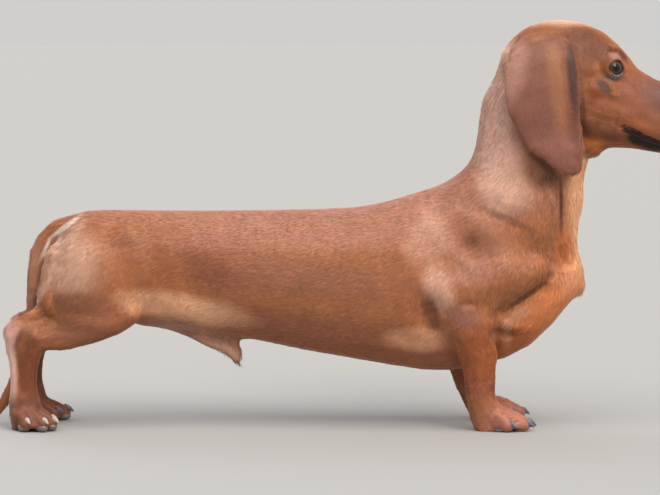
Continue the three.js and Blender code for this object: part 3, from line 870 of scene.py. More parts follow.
# %% [markdown]
# Claws and pads
#
# A claw is a cone of horn, pressed flat at the sides and bent down over its length. Each is cut into short
# rings from one cone and bent by its own place along it, then carried to its toe. The pads are cushions of
# thick skin under each toe and under the middle of the foot, flat where they bear on the floor.

# %% Claws
CLAW_LONG = {"fore": 8.6, "hind": 7.0}
CLAW_THICK = {"fore": 2.7, "hind": 2.5}
CLAW_BEND = 34  # degrees from root to tip


def toe_place(paw, toe, along, up):
    """A place above the floor at some distance along a toe, and the toe's direction."""
    _, middle, heading, _ = paw
    turn, _, beside = toe
    h = math.radians(heading)
    t = math.radians(heading + turn)
    x = middle[0] - beside * math.sin(h) + along * math.cos(t)
    y = middle[1] + beside * math.cos(h) + along * math.sin(t)
    return Vector((x, y, up)), heading + turn


def add_bent_cone(net, root, heading, dip, length, thick):
    """A claw from its root: turned to its toe, tipped down by dip degrees and bent over its length."""
    single = bmesh.new()
    bmesh.ops.create_cone(single, cap_ends=True, segments=12, radius1=thick, radius2=thick * 0.3,
                          depth=length)
    lengthwise = [e for e in single.edges if abs(e.verts[0].co.z - e.verts[1].co.z) > length / 2]
    bmesh.ops.subdivide_edges(single, edges=lengthwise, cuts=7)
    lay = Matrix.Rotation(math.radians(heading), 3, "Z") @ Matrix.Rotation(math.radians(90 + dip), 3, "Y")
    arc = length / math.radians(CLAW_BEND)
    for v in single.verts:
        t = v.co.z / length + 0.5
        swell = 1 + 0.5 * math.sin(math.pi * t) * (1 - t)
        bend = math.radians(CLAW_BEND) * t
        flat = Vector((v.co.x * swell, v.co.y * swell * 0.72, 0))
        ahead = Vector((arc * (1 - math.cos(bend)), 0, arc * math.sin(bend)))
        v.co = lay @ (Matrix.Rotation(bend, 3, "Y") @ flat + ahead) + root
    carrier = bpy.data.meshes.new("claw")
    single.to_mesh(carrier)
    single.free()
    net.from_mesh(carrier)
    bpy.data.meshes.remove(carrier)


for paw in PAWS:
    claws = bmesh.new()
    for toe in TOES[paw[0][:4]]:
        root, heading = toe_place(paw, toe, TOE_SPINE[-1][0] * (TOE_TIP + toe[1]) + 2.2, paw[3])
        add_bent_cone(claws, root, heading, 10, CLAW_LONG[paw[0][:4]], CLAW_THICK[paw[0][:4]])
    new_piece(f"claws_{paw[0]}", claws, "claw", *[f"claw_{paw[0]}_{i}" for i in (1, 2, 3, 4)])
dew = bmesh.new()
for side, back in ((-1, 0), (1, 8)):
    add_bent_cone(dew, Vector((136.5 - back, 34.2 * side, 34)), 0, 62, 8.5, 1.6)
new_piece("dewclaws", dew, "claw", "dewclaw_right", "dewclaw_left")
print("18 claws")

# %% Pads
cushions = bmesh.new()


def cushion(net, root, heading, radii):
    made = bmesh.ops.create_icosphere(net, subdivisions=3, radius=1)
    turn = Matrix.Rotation(math.radians(heading), 3, "Z")
    for v in made["verts"]:
        v.co = turn @ Vector(c * r for c, r in zip(v.co, radii)) + root
        v.co.z = max(v.co.z, 0.1)


TOE_PADS = {  # behind the toe's tip, height, radii; the hind toes show more of their pads
    "fore": (9.4, 1.6, (5.0, 3.0, 1.6)),
    "hind": (5.8, 3.9, (6.4, 4.6, 3.9)),
}
for paw in PAWS:
    behind, height, radii = TOE_PADS[paw[0][:4]]
    for toe in TOES[paw[0][:4]]:
        root, heading = toe_place(paw, toe, TOE_TIP + toe[1] - behind, height)
        cushion(cushions, root, heading, radii)
    root, heading = toe_place(paw, (0, 0, 0), 8, 3.0)
    cushion(cushions, root, heading, (7.5, 7.5, 3.1))
for side, back in ((-1, 0), (1, 6)):
    cushion(cushions, Vector((117.6 - back, 46 * side, 29)), 0, (2.6, 3.6, 4.0))
new_piece("paw_pads", cushions, "nose_leather")
print("22 pads")

# %% [markdown]
# Markings, painted light and shade
#
# A red dachshund is never one red. The ears are mauve-brown, the legs darker, the hip and breast orange,
# the belly thinly haired over grey skin. Painting that by hand would need a picture. Soft ovals in the
# dog's own coordinates need none, and as both the skin and the coat read the same ones, a marking runs
# through hair and skin alike. Not every oval is the coat's own colour: the pinkish back is a painted sheen,
# and others are painted highlights, painted rim light and painted shade in creases and hollows. Left and
# right are the same, so the ovals read the distance from the middle plane.

# %% Markings and painted light
RED = "#A5653F"
MARKINGS_AND_PAINTED_LIGHT = [  # colour, strength, centre, radii, degrees that it is tipped nose-up
    ("#BA8474", 0.70, (-20, 10, 196), (270, 60, 28), 0),  # back, pinkish with a painted sheen
    ("#AE7965", 0.55, (-15, 40, 168), (120, 40, 18), 0),  # saddle
    ("#945E49", 0.65, (-50, 56, 132), (125, 40, 20), -5),  # middle of the side
    ("#9C6044", 0.65, (-10, 50, 88), (90, 40, 16), -5),  # underside of the ribs
    ("#A8653D", 0.85, (-156, 48, 126), (48, 40, 38), 0),  # hip and flank
    ("#95593F", 0.45, (-130, 48, 157), (72, 34, 17), -3),  # side of the loins
    ("#DCB09A", 0.66, (-219, 38, 141), (28, 36, 36), 30),  # painted highlight on the outline of the rump
    ("#93593C", 0.70, (-192, 50, 104), (40, 34, 16), -4),  # thigh
    ("#925C45", 0.65, (-212, 46, 84), (40, 34, 11), -4),  # calf
    ("#8F5138", 0.60, (-100, 54, 132), (34, 24, 18), -15),  # dark of the flank
    ("#F4B88E", 0.82, (-122, 46, 101), (60, 34, 15), -10),  # painted light low on the flank
    ("#AF7D69", 0.90, (-112, 16, 74), (58, 34, 18), -20),  # thinly haired belly
    ("#D9AC8C", 0.75, (-86, 24, 62), (40, 30, 8), -24),  # light edge of the belly's hair
    ("#C99088", 0.80, (-270, 44, 82), (12, 24, 14), 0),  # hock, a painted highlight on the leg's rear edge
    ("#743A1C", 0.85, (-254, 38, 52), (12, 30, 40), 0),  # front of the rear pastern
    ("#F0C6BA", 0.90, (-271, 40, 50), (7, 24, 38), 0),  # tendon, a painted highlight on the leg's rear edge
    ("#774838", 0.80, (-248, 40, 12), (46, 40, 20), 0),  # hind paw
    ("#AF7C62", 0.80, (-258, 0, 110), (20, 13, 84), 0),  # tail
    ("#D6A48C", 0.50, (84, 54, 166), (21, 34, 28), -20),  # painted highlight behind the shoulder blade
    ("#A06A56", 0.50, (104, 50, 186), (26, 34, 16), -30),  # top of the shoulder blade
    ("#A26A52", 0.65, (122, 58, 158), (34, 30, 26), 0),  # shoulder
    ("#A87263", 0.60, (122, 62, 134), (22, 24, 12), 0),  # upper arm
    ("#EBBAA3", 0.62, (91, 60, 121), (14, 24, 25), 18),  # painted highlight on the triceps
    ("#6A3A22", 0.80, (85, 58, 99), (8, 24, 18), 15),  # painted shade in the hollow behind the elbow
    ("#DCA07C", 0.75, (72, 50, 76), (28, 30, 13), -6),  # painted light on the lower ribs behind the arm
    ("#9E5228", 0.80, (124, 50, 62), (28, 40, 34), 0),  # foreleg
    ("#8A472C", 0.70, (126, 48, 38), (22, 40, 12), 0),  # wrist
    ("#BD7C69", 0.80, (154, 44, 8), (34, 44, 18), 0),  # forepaw
    ("#E88C54", 0.85, (186, 10, 100), (40, 60, 24), 42),  # breast
    ("#C46C34", 0.75, (160, 20, 72), (32, 60, 13), 30),  # under the breast
    ("#EDA074", 0.80, (204, 6, 126), (18, 50, 20), 0),  # tip of the breastbone
    ("#FCBC8E", 0.90, (213, 0, 182), (16, 40, 66), 0),  # throat, orange made paler by painted light on its front edge
    ("#C8743F", 0.70, (200, 16, 150), (9, 30, 22), 0),  # throat above the breastbone
    ("#DFB7AA", 0.72, (137, 20, 258), (24, 50, 80), 4),  # nape, painted rim light
    ("#D7A892", 0.75, (148, 42, 204), (27, 30, 24), -40),  # side of the neck
    ("#B98D7C", 0.60, (152, 36, 232), (14, 40, 26), 20),  # neck behind the ear
    ("#5C3520", 0.80, (180, 36, 217), (22, 20, 14), -34),  # shade under the ear
    ("#F4C8AE", 0.88, (194, 0, 352), (66, 44, 13), 0),  # painted highlight on the top of the skull
    ("#E8BCA8", 0.80, (148, 0, 318), (14, 30, 24), 50),  # back of the skull, painted rim light
    ("#93543A", 0.80, (262, 16, 268), (56, 34, 42), 0),  # face
    ("#6E3820", 0.85, (218, 30, 327), (29, 26, 18), -28),  # temple
    ("#744A42", 0.85, (288, 18, 281), (30, 34, 17), -20),  # bridge of the nose
]
FINE_MARKINGS_AND_PAINTED_LIGHT = [  # their edges hardly wander
    ("#6E3E26", 0.70, (119, 60, 160), (8, 24, 7), 0),  # painted shade in the hollow of the shoulder
    ("#653418", 0.85, (166, 50, 114), (26, 40, 2.8), 34),  # painted shade in the crease under the shoulder joint
    ("#E2A27C", 0.55, (160, 54, 97), (18, 24, 6.5), 30),  # light on the fold before the arm
    ("#7A4224", 0.60, (158, 54, 84), (15, 24, 3.4), 22),  # shade under it
    ("#DDA183", 0.60, (150, 46, 60), (6, 24, 32), 0),  # painted rim light on the front of the foreleg
    ("#98675C", 0.65, (113, 60, 98), (15, 24, 12), -20),  # painted sheen on the elbow
    ("#54290F", 0.85, (195.5, 34, 187), (2.2, 18, 30), 0),  # painted shade in the crease of the neck
    ("#6A3A24", 0.55, (150, 40, 178), (26, 24, 4), -24),  # painted shade in the crease before the shoulder blade
    ("#74452A", 0.66, (-214, 46, 108), (22, 24, 12), -10),  # painted shade in the hollow over the hamstring
    ("#DDB199", 0.65, (-243, 34, 118), (18, 24, 4), 62),  # light on its tendon
    ("#DDB6A4", 0.40, (-224, 24, 163), (26, 24, 10), 44),  # painted highlight beside it
    ("#FBE3D6", 0.92, (-226, 22, 169.5), (20, 32, 2.2), 37),  # painted rim light on the edge of the buttock, in two strips
    ("#FBE3D6", 0.92, (-242.5, 22, 150), (15, 32, 2.2), 65),
    ("#C08A6C", 0.60, (-247, 6, 132), (9, 14, 18), 0),  # lighter flank of the tail
    ("#6B3D2A", 0.70, (-262, 44, 78), (3, 20, 10), -20),  # before the hock's point
    ("#7E4526", 0.75, (212, 36, 314), (11, 30, 20), 10),  # temple before the ear
    ("#4A1C06", 0.85, (248.2, 24, 316), (8, 26, 3.4), -66),  # painted shade in the hollow between eye and brow
    ("#5A2810", 0.80, (241, 30, 320.3), (9, 26, 2.6), -2),  # painted shade in the crease over the upper lid
    ("#B08077", 0.75, (240.5, 34, 315.5), (7, 20, 3.4), -16),  # upper lid, a painted highlight
    ("#7B6A6B", 0.85, (240, 34, 297.4), (10, 20, 3.6), 2),  # lower lid
    ("#853E08", 0.78, (222, 36, 290), (8.5, 40, 16), 10),  # orange behind the eye
    ("#481A04", 0.88, (231, 36, 290), (10, 40, 5.0), -46),  # dark patch behind the eye
    ("#C47A50", 0.50, (236, 36, 273), (20, 30, 6), -12),  # light folds of the cheek
    ("#84543E", 0.35, (221, 38, 256), (10, 30, 8), 0),  # dark of the cheek
    ("#5C3220", 0.55, (212.6, 36, 275), (3.2, 22, 30), 4),  # shade before the ear
    ("#70412C", 0.50, (238, 30, 247), (10, 26, 6), -10),  # below the corner of the mouth
    ("#BC682F", 0.85, (223, 20, 240), (13, 26, 8), 0),  # throat skin by the ear
    ("#B56436", 0.75, (262, 24, 257), (18, 26, 3.6), -22),  # over the lip
    ("#120B0B", 0.97, (259, 16, 245.5), (10, 30, 6.5), -30),  # black lips
    ("#120B0B", 0.97, (272, 16, 240), (13, 30, 7), -16),
    # black lower lip, widened below the lip line as painted shade under the overhanging upper lip
    ("#120B0B", 0.95, (306, 12, 233), (34, 24, 6), 3),
]
EAR_BROWN = "#8B5640"
EAR_MARKINGS_AND_PAINTED_LIGHT = [
    ("#8F5C4C", 0.80, (174, 47, 268), (20, 20, 56), 0),  # mauve of its broad back half
    ("#A86E4C", 0.75, (191, 49, 292), (9, 20, 50), 6),  # lighter strip
    ("#583836", 0.88, (204, 47, 302), (4.6, 20, 42), 5),  # darker skin of the rolled front edge, with painted shade in its curl
    ("#BC8C7C", 0.80, (149, 46, 306), (18, 26, 42), -12),  # its root, pale with the nape's painted rim light
    ("#B27A5E", 0.60, (178, 44, 334), (34, 20, 5), 12),  # painted highlight on the fold at the top
    ("#A56C60", 0.65, (197, 47, 236), (22, 22, 18), -20),  # mauve over its lower edge
]
OVAL_CORE = 0.45  # in radii: a marking has its full strength up to here
OVAL_RIM = 1.25  # and has faded out here
WANDER_MM = 38  # how far apart the wanderings of the markings' edges lie
SPECKLE_MM = 5.0  # how far the edges of the large markings wander
FINE_SPECKLE_MM = 1.2
PATCHES_MM = 14  # how far apart the slightly lighter and darker places lie
HAIR_MM = 0.9  # width of the streaks, drawn coarse enough to show


def folded_space(material, place, wander, most):
    """The dog's coordinates with left and right folded together, stirred by up to so many millimetres."""
    shift = node(material, "VectorMath", operation="MULTIPLY_ADD",
                 inputs={1: (most * 2 / 1000,) * 3, 2: (-most / 1000,) * 3},
                 links={0: wander.outputs["Color"]})
    moved = node(material, "VectorMath", operation="ADD", links={0: place, 1: shift.outputs[0]})
    parts = node(material, "SeparateXYZ", links={0: moved.outputs[0]})
    out_y = node(material, "Math", operation="ABSOLUTE", links={0: parts.outputs["Y"]})
    return node(material, "CombineXYZ", links={"X": parts.outputs["X"], "Y": out_y.outputs[0],
                                               "Z": parts.outputs["Z"]}).outputs[0]


def paint_ovals(material, shade, markings, space):
    """Each soft oval painted over a shade, which is a plain colour or a node's output."""
    # The gradient texture measures the reach. With a vector node in its place 80 ovals outgrew the small
    # stack of a Cycles shader, and the coat turned black without an error.
    for hex_colour, strength, centre, radii, turn in markings:
        oval_space = node(material, "Mapping", vector_type="TEXTURE", links={"Vector": space},
                          inputs={"Location": metres(centre), "Rotation": (0, math.radians(-turn), 0),
                                  "Scale": [r * OVAL_RIM / 1000 for r in radii]})
        inward = node(material, "TexGradient", gradient_type="SPHERICAL",
                      links={"Vector": oval_space.outputs[0]})
        share = node(material, "MapRange", interpolation_type="SMOOTHSTEP",
                     links={"Value": inward.outputs["Fac"]},
                     inputs={"From Min": 0.0, "From Max": 1 - OVAL_CORE / OVAL_RIM, "To Max": strength})
        mix = node(material, "Mix", data_type="RGBA", links={0: share.outputs[0]},
                   inputs={7: colour(hex_colour)})
        if isinstance(shade, str):
            mix.inputs[6].default_value = colour(shade)
        else:
            material.node_tree.links.new(shade, mix.inputs[6])
        shade = mix.outputs[2]
    return shade


def add_markings_and_painted_light(material):
    """The dog's colour with its painted light and shade, as a node output, the same in every material that
    calls it.
    """
    place = node(material, "TexCoord").outputs["Object"]
    wander = node(material, "TexNoise", inputs={"Scale": 1000 / WANDER_MM, "Detail": 3.0},
                  links={"Vector": place})
    loose = folded_space(material, place, wander, SPECKLE_MM)
    tight = folded_space(material, place, wander, FINE_SPECKLE_MM)
    shade = paint_ovals(material, RED, MARKINGS_AND_PAINTED_LIGHT, loose)
    shade = paint_ovals(material, shade, FINE_MARKINGS_AND_PAINTED_LIGHT, tight)
    ear_shade = paint_ovals(material, EAR_BROWN, EAR_MARKINGS_AND_PAINTED_LIGHT, tight)
    ear_share = node(material, "Attribute", attribute_name="ear")
    both = node(material, "Mix", data_type="RGBA",
                links={0: ear_share.outputs["Fac"], 6: shade, 7: ear_shade})
    patches = node(material, "TexNoise", links={"Vector": place},
                   inputs={"Scale": 1000 / PATCHES_MM, "Detail": 4.0, "Roughness": 0.62})
    value = node(material, "MapRange", links={"Value": patches.outputs["Fac"]},
                 inputs={"From Min": 0.3, "From Max": 0.7, "To Min": 0.90, "To Max": 1.10})
    return node(material, "HueSaturation",
                links={"Color": both.outputs[2], "Value": value.outputs[0]}).outputs[0]


def new_material(name, **inputs):
    """A Principled material with these constant values on its sockets."""
    made = bpy.data.materials.new(name)
    made.use_nodes = True
    for key, value in inputs.items():
        made.node_tree.nodes["Principled BSDF"].inputs[key.replace("_", " ")].default_value = value
    return made


def wire(material, **outputs):
    """Links the outputs of nodes to sockets of the material's Principled shader."""
    for key, output in outputs.items():
        socket = material.node_tree.nodes["Principled BSDF"].inputs[key.replace("_", " ")]
        material.node_tree.links.new(output, socket)


# %% [markdown]
# Skin material
#
# Under the hair lies living skin that takes its colour from the roots of the hair, and shows itself only
# on lips, rims and soles, where it is bare, black and slightly moist. Fine streaks along the lie of the
# hair are bump, so that a gap between two tufts still looks like hair.

# %% Skin under the hair
hide = new_material("haired_skin", Roughness=0.6, Specular_IOR_Level=0.25)
hide_colour = add_markings_and_painted_light(hide)
bare_here = node(hide, "Attribute", attribute_name="bare")
black_skin = node(hide, "Mix", data_type="RGBA", links={0: bare_here.outputs["Fac"], 6: hide_colour},
                  inputs={7: colour("#150E0D")})
hide_place = node(hide, "TexCoord")
streak_space = node(hide, "Mapping", links={"Vector": hide_place.outputs["Object"]},
                    inputs={"Rotation": (0, math.radians(-22), 0), "Scale": (0.12, 1.0, 1.0)})
streaks = node(hide, "TexNoise", links={"Vector": streak_space.outputs[0]},
               inputs={"Scale": 1000 / HAIR_MM / 2, "Detail": 2.0})
hide_bump = node(hide, "Bump", links={"Height": streaks.outputs["Fac"]},
                 inputs={"Strength": 0.35, "Distance": 0.0006})
wire(hide, Base_Color=black_skin.outputs[2], Normal=hide_bump.outputs[0])
skin_mesh.materials.clear()
skin_mesh.materials.append(hide)

# %% Coat
# Short healthy hair gleams softly along the back and turns paler towards its outline: a fairly rough
# surface with a warm sheen. Each lock has a tone of its own and is darker at its root.
coat = new_material("smooth_coat", Roughness=0.48, Sheen_Weight=0.32, Sheen_Roughness=0.45,
                    Sheen_Tint=colour("#FFD9C8"))
coat_colour = add_markings_and_painted_light(coat)
tone = node(coat, "Attribute", attribute_name="tone")
tip = node(coat, "Attribute", attribute_name="tip")
tone_value = node(coat, "MapRange", inputs={"To Min": 0.86, "To Max": 1.14},
                  links={"Value": tone.outputs["Fac"]})
tip_value = node(coat, "MapRange", inputs={"To Min": 0.84, "To Max": 1.06},
                 links={"Value": tip.outputs["Fac"]})
brightness = node(coat, "Math", operation="MULTIPLY",
                  links={0: tone_value.outputs[0], 1: tip_value.outputs[0]})
toned = node(coat, "HueSaturation", links={"Color": coat_colour, "Value": brightness.outputs[0]})
wire(coat, Base_Color=toned.outputs[0])

# %% Eye, leather and horn
# The coat layer is the wet cornea, which gives the hard highlight over a dark, dull iris.
glassy = new_material("living_eye", Roughness=0.12, Coat_Weight=0.75, Coat_Roughness=0.02, Coat_IOR=1.45,
                      Specular_IOR_Level=0.08)
from_pole = node(glassy, "Attribute", attribute_name="from_pole")
pole_share = node(glassy, "Math", operation="DIVIDE", inputs={1: EYE_RADIUS},
                  links={0: from_pole.outputs["Fac"]})
rings = node(glassy, "ValToRGB", links={"Fac": pole_share.outputs[0]})
stops = [(0.0, "#030202"), (0.24, "#030202"), (0.29, "#2C170E"), (0.48, "#54311C"), (0.61, "#301B11"),
         (0.68, "#0A0605"), (0.80, "#3E302B"), (1.0, "#4A3C37")]
while len(rings.color_ramp.elements) < len(stops):
    rings.color_ramp.elements.new(0.5)
for element, (where, hex_colour) in zip(rings.color_ramp.elements, stops):
    element.position = where
    element.color = colour(hex_colour)
FIBRE_MM = 0.9
fibres = node(glassy, "TexNoise", inputs={"Scale": 1000 / FIBRE_MM},
              links={"Vector": node(glassy, "TexCoord").outputs["Object"]})
iris = node(glassy, "Mix", data_type="RGBA", blend_type="MULTIPLY", inputs={0: 0.5},
            links={6: rings.outputs["Color"], 7: fibres.outputs["Color"]})
wire(glassy, Base_Color=iris.outputs[2])
for eye in eyes:
    eye.data.materials.append(glassy)

# The rim of a lid is moist black skin; the pale grey of the lower one is a painted reflection on its wet
# edge.
margin = new_material("lid_margin", Roughness=0.3, Coat_Weight=0.4, Coat_Roughness=0.1)
margin_place = node(margin, "SeparateXYZ", links={0: node(margin, "TexCoord").outputs["Object"]})
margin_share = node(margin, "MapRange", links={"Value": margin_place.outputs["Z"]},
                    inputs={"From Min": 0.2985, "From Max": 0.3045})
rim_with_painted_reflection = node(margin, "Mix", data_type="RGBA", links={0: margin_share.outputs[0]},
                  inputs={6: colour("#9C9092"), 7: colour("#1E1414")})
wire(margin, Base_Color=rim_with_painted_reflection.outputs[2])

# Nose leather is black, pebbled and damp, so it gleams in many small spots; inside the nostrils it is dull,
# and painted near-black as shade in the hollows.
PEBBLE_MM = 0.9
CLOUD_MM = 7
leather = new_material("nose_leather", Roughness=0.34, Coat_Weight=0.35, Coat_Roughness=0.22)
leather_place = node(leather, "TexCoord").outputs["Object"]
pebbles = node(leather, "TexVoronoi", inputs={"Scale": 1000 / PEBBLE_MM / 1.2},
               links={"Vector": leather_place})
cloud = node(leather, "TexNoise", inputs={"Scale": 1000 / CLOUD_MM}, links={"Vector": leather_place})
black = node(leather, "Mix", data_type="RGBA", links={0: cloud.outputs["Fac"]},
             inputs={6: colour("#1A1413"), 7: colour("#3A2C29")})
inside = node(leather, "Attribute", attribute_name="deep")
# painted shade: the insides of the nostrils turn near-black
hollow = node(leather, "Mix", data_type="RGBA", links={0: inside.outputs["Fac"], 6: black.outputs[2]},
              inputs={7: colour("#060404")})
matt_inside = node(leather, "MapRange", links={"Value": inside.outputs["Fac"]},
                   inputs={"To Min": 0.34, "To Max": 0.95})
pebble_bump = node(leather, "Bump", invert=True, links={"Height": pebbles.outputs["Distance"]},
                   inputs={"Strength": 0.5, "Distance": 0.0004})
wire(leather, Base_Color=hollow.outputs[2], Roughness=matt_inside.outputs[0], Normal=pebble_bump.outputs[0])

sole = leather.copy()  # the pads are greyer than the nose, and dusty
sole.name = "pad_leather"
sole.node_tree.nodes[black.name].inputs[6].default_value = colour("#3B3231")
sole.node_tree.nodes[black.name].inputs[7].default_value = colour("#8A7D78")
GRAIN_MM = 1.2


def horn(name, dark, light):
    """Claw horn: smooth and slightly waxy, with its grain along the claw."""
    made = new_material(name, Roughness=0.32, Coat_Weight=0.2)
    space = node(made, "Mapping", links={"Vector": node(made, "TexCoord").outputs["Object"]},
                 inputs={"Scale": (0.3, 1.0, 1.0)})
    grain = node(made, "TexNoise", inputs={"Scale": 1000 / GRAIN_MM, "Detail": 2.0},
                 links={"Vector": space.outputs[0]})
    mix = node(made, "Mix", data_type="RGBA", links={0: grain.outputs["Fac"]},
               inputs={6: colour(dark), 7: colour(light)})
    wire(made, Base_Color=mix.outputs[2])
    return made


slate_horn = horn("claw_horn_slate", "#2A2A34", "#70738A")
pale_horn = horn("claw_horn_pale", "#7C706C", "#D3CAC6")

for piece in bpy.data.objects:
    if piece.name.startswith(("claws_", "dewclaws")):
        piece.data.materials.append(pale_horn if piece.name == "claws_hind_right" else slate_horn)
    elif piece.name == "nose_pad":
        piece.data.materials.append(leather)
    elif piece.name == "paw_pads":
        piece.data.materials.append(sole)
    elif piece.name == "lid_rims":
        piece.data.materials.append(margin)
print("materials:", len(MARKINGS_AND_PAINTED_LIGHT) + len(FINE_MARKINGS_AND_PAINTED_LIGHT) + len(EAR_MARKINGS_AND_PAINTED_LIGHT), "markings")

# %% [markdown]
# The lie of the coat
#
# Hair grows in streams: back over the skull, down the neck, back and down along the ribs, straight down
# the legs. Whoever grooms a dog learns them by stroking it. A few strokes with a place and a direction are
# therefore enough. Everywhere else the direction is the mean of all strokes, the nearest counting most, laid
# flat onto the skin and stirred a little, so that small locks part from each other.

# %% Combing
STROKES = [  # place, direction
    ((322, 0, 284), (-1, 0, 0.2)), ((285, 0, 294), (-1, 0, 0.25)), ((252, 0, 318), (-0.75, 0, 0.65)),
    ((215, 0, 346), (-1, 0, 0.1)), ((170, 0, 342), (-0.9, 0, -0.4)), ((146, 0, 312), (-0.4, 0, -0.9)),
    ((126, 0, 260), (-0.1, 0, -1)), ((110, 0, 216), (-0.7, 0, -0.7)), ((80, 0, 202), (-1, 0, -0.2)),
    ((0, 0, 187), (-1, 0, 0)), ((-120, 0, 184), (-1, 0, 0)), ((-200, 0, 184), (-1, 0, -0.1)),
    ((-240, 0, 172), (-0.6, 0, -0.8)), ((-256, 0, 120), (-0.05, 0, -1)), ((-262, 0, 60), (-0.2, 0, -1)),
    ((-284, 0, 15), (-0.6, 0, -0.7)), ((318, 18, 262), (-1, 0, 0.1)), ((296, 20, 258), (-1, 0, -0.1)),
    ((268, 20, 268), (-1, 0, 0)), ((248, 28, 285), (-0.95, 0, -0.3)), ((236, 30, 325), (-0.8, 0, 0.5)),
    ((224, 36, 300), (-1, 0, 0)), ((222, 38, 268), (-0.9, 0, -0.5)), ((228, 28, 246), (-1, 0, -0.2)),
    ((290, 8, 231), (-1, 0, 0)), ((250, 8, 236), (-1, 0, -0.1)), ((226, 6, 230), (-1, 0, 0)),
    ((217, 0, 222), (-0.3, 0, -1)), ((221, 0, 190), (0, 0, -1)), ((214, 0, 150), (0.1, 0, -1)),
    ((182, 34, 226), (-0.3, 0, -1)), ((150, 38, 225), (-0.5, 0, -0.85)),
    ((130, 40, 205), (-0.75, 0, -0.65)), ((176, 42, 165), (-0.25, 0, -1)),
    ((215, 14, 120), (-0.1, 0.25, -1)), ((190, 26, 90), (-0.7, 0.1, -0.7)),
    ((150, 20, 56), (-1, 0, -0.3)), ((146, 50, 150), (-0.45, 0, -0.9)), ((115, 55, 165), (-0.6, 0, -0.8)),
    ((90, 58, 165), (-0.8, 0, -0.55)), ((135, 60, 118), (-0.3, 0, -0.95)),
    ((100, 62, 118), (-0.35, 0, -0.95)), ((125, 60, 60), (-0.05, 0, -1)),
    ((100, 54, 86), (-0.5, 0, -0.85)), ((120, 34, 60), (0, 0, -1)), ((140, 45, 30), (0.5, 0, -0.9)),
    ((158, 48, 14), (1, 0, -0.3)), ((40, 60, 130), (-0.92, 0, -0.42)),
    ((-20, 58, 130), (-0.93, 0, -0.38)), ((-80, 54, 130), (-0.93, 0, -0.36)),
    ((30, 50, 75), (-0.96, 0, -0.3)), ((-60, 44, 85), (-0.96, 0, -0.25)),
    ((-130, 46, 140), (-0.85, 0, -0.5)), ((-135, 44, 100), (-0.9, 0, -0.4)), ((20, 0, 57), (-1, 0, 0)),
    ((-60, 0, 66), (-1, 0, -0.1)), ((-120, 0, 80), (1, 0, -0.4)), ((-78, 0, 60), (0.4, 0, -0.9)),
    ((-180, 50, 150), (-0.7, 0, -0.7)), ((-200, 50, 120), (-0.6, 0, -0.8)),
    ((-160, 48, 115), (-0.7, 0, -0.7)), ((-232, 34, 140), (-0.35, 0, -0.95)),
    ((-235, 18, 150), (-0.3, -0.2, -1)), ((-200, 50, 92), (-0.95, 0, -0.3)),
    ((-240, 48, 84), (-0.8, 0, -0.6)), ((-258, 46, 55), (0, 0, -1)), ((-272, 38, 60), (-0.1, 0, -1)),
    ((-256, 30, 55), (0, 0, -1)), ((-246, 42, 24), (0.4, 0, -0.9)), ((-235, 48, 12), (0.9, 0.3, -0.4)),
    ((172, 47, 320), (-0.15, 0, -1)), ((180, 47, 280), (0, 0, -1)), ((188, 46, 240), (0.1, 0, -1)),
]


MOST_STIR = 0.038  # how far each of the three waves turns the hair


def combed(where, facing):
    """The direction in which the hair lies at each place, flat on the skin, and 0 to 1 how well it lies."""
    flow = np.zeros_like(where)
    total = np.zeros(len(where))
    folded = where * (1, 0, 1) + np.abs(where) * (0, 1, 0)
    for place, direction in STROKES:
        near = 1 / (np.sum((folded - place) ** 2, axis=1) + 60) ** 1.6
        flow += near[:, None] * unit(np.array(direction, dtype=float))
        total += near
    flow /= total[:, None]
    flow[:, 1] *= np.sign(where[:, 1])
    flow = unit(flow)
    centre = np.where(where[:, 1:2] > 0, EYE, EYE * (1, -1, 1))
    flow += 2 * (1 - step(10.5, 15, off_eye(where)))[:, None] * unit(where - centre)  # away from the lids
    flow -= facing * np.sum(flow * facing, axis=1, keepdims=True)
    lies = np.linalg.norm(flow, axis=1)
    flow = unit(flow)
    x, y, z = where.T
    stir = np.sin(x / 7.3 + 2 * np.sin(z / 11.0)) + np.sin(z / 5.1 + x / 9.7) + np.sin(y / 4.3 + z / 8.1)
    stir *= MOST_STIR
    return unit(flow + np.cross(facing, flow) * stir[:, None]), lies


# %% [markdown]
# Tufts
#
# Every hair of a live dog would be millions of meshes. At this distance the eye sees small pointed locks
# of a few dozen hairs, so each tuft is one lock: a slim pyramid of four triangles, closed underneath,
# broad at the root and pointed at the tip, lying a few degrees off the skin. Where the skin is hollow a
# straight tuft would dive into it, so its tip is raised. Its shading normals are those of the skin
# beneath, slightly rounded from side to side, which gives the closed gleam of a smooth coat instead of a
# glitter of facets. Each piece of coat is unwrapped on the form of the skin below it, and all four
# corners of a tuft sit on one small patch at its root's place, so that a baked colour stays where it
# grew.

# %% Regions of the coat
COVER = 1.95  # how many layers of tufts lie over each other
SLIM = 0.112  # width of a tuft as a share of its length
MOST_TUFTS = 49500  # four triangles each, under the limit of one piece
PATCH = 0.003  # size of a tuft's place on the unwrap
UNWRAP_ANGLE = 66
MOST_BEND = 1.8  # mm that a tip is raised to follow the skin
ROOT_SUNK = 0.12  # mm that the root's corners lie in the skin

corners = read(skin_mesh.loop_triangles, "vertices", 3, np.int32)
triangle_loops = read(skin_mesh.loop_triangles, "loops", 3, np.int32)
face_of = read(skin_mesh.loop_triangles, "polygon_index", kind=np.int32)
edge_1 = body[corners[:, 1]] - body[corners[:, 0]]
edge_2 = body[corners[:, 2]] - body[corners[:, 0]]
area = 0.5 * np.linalg.norm(np.cross(edge_1, edge_2), axis=1)
middle = body[corners].mean(axis=1)

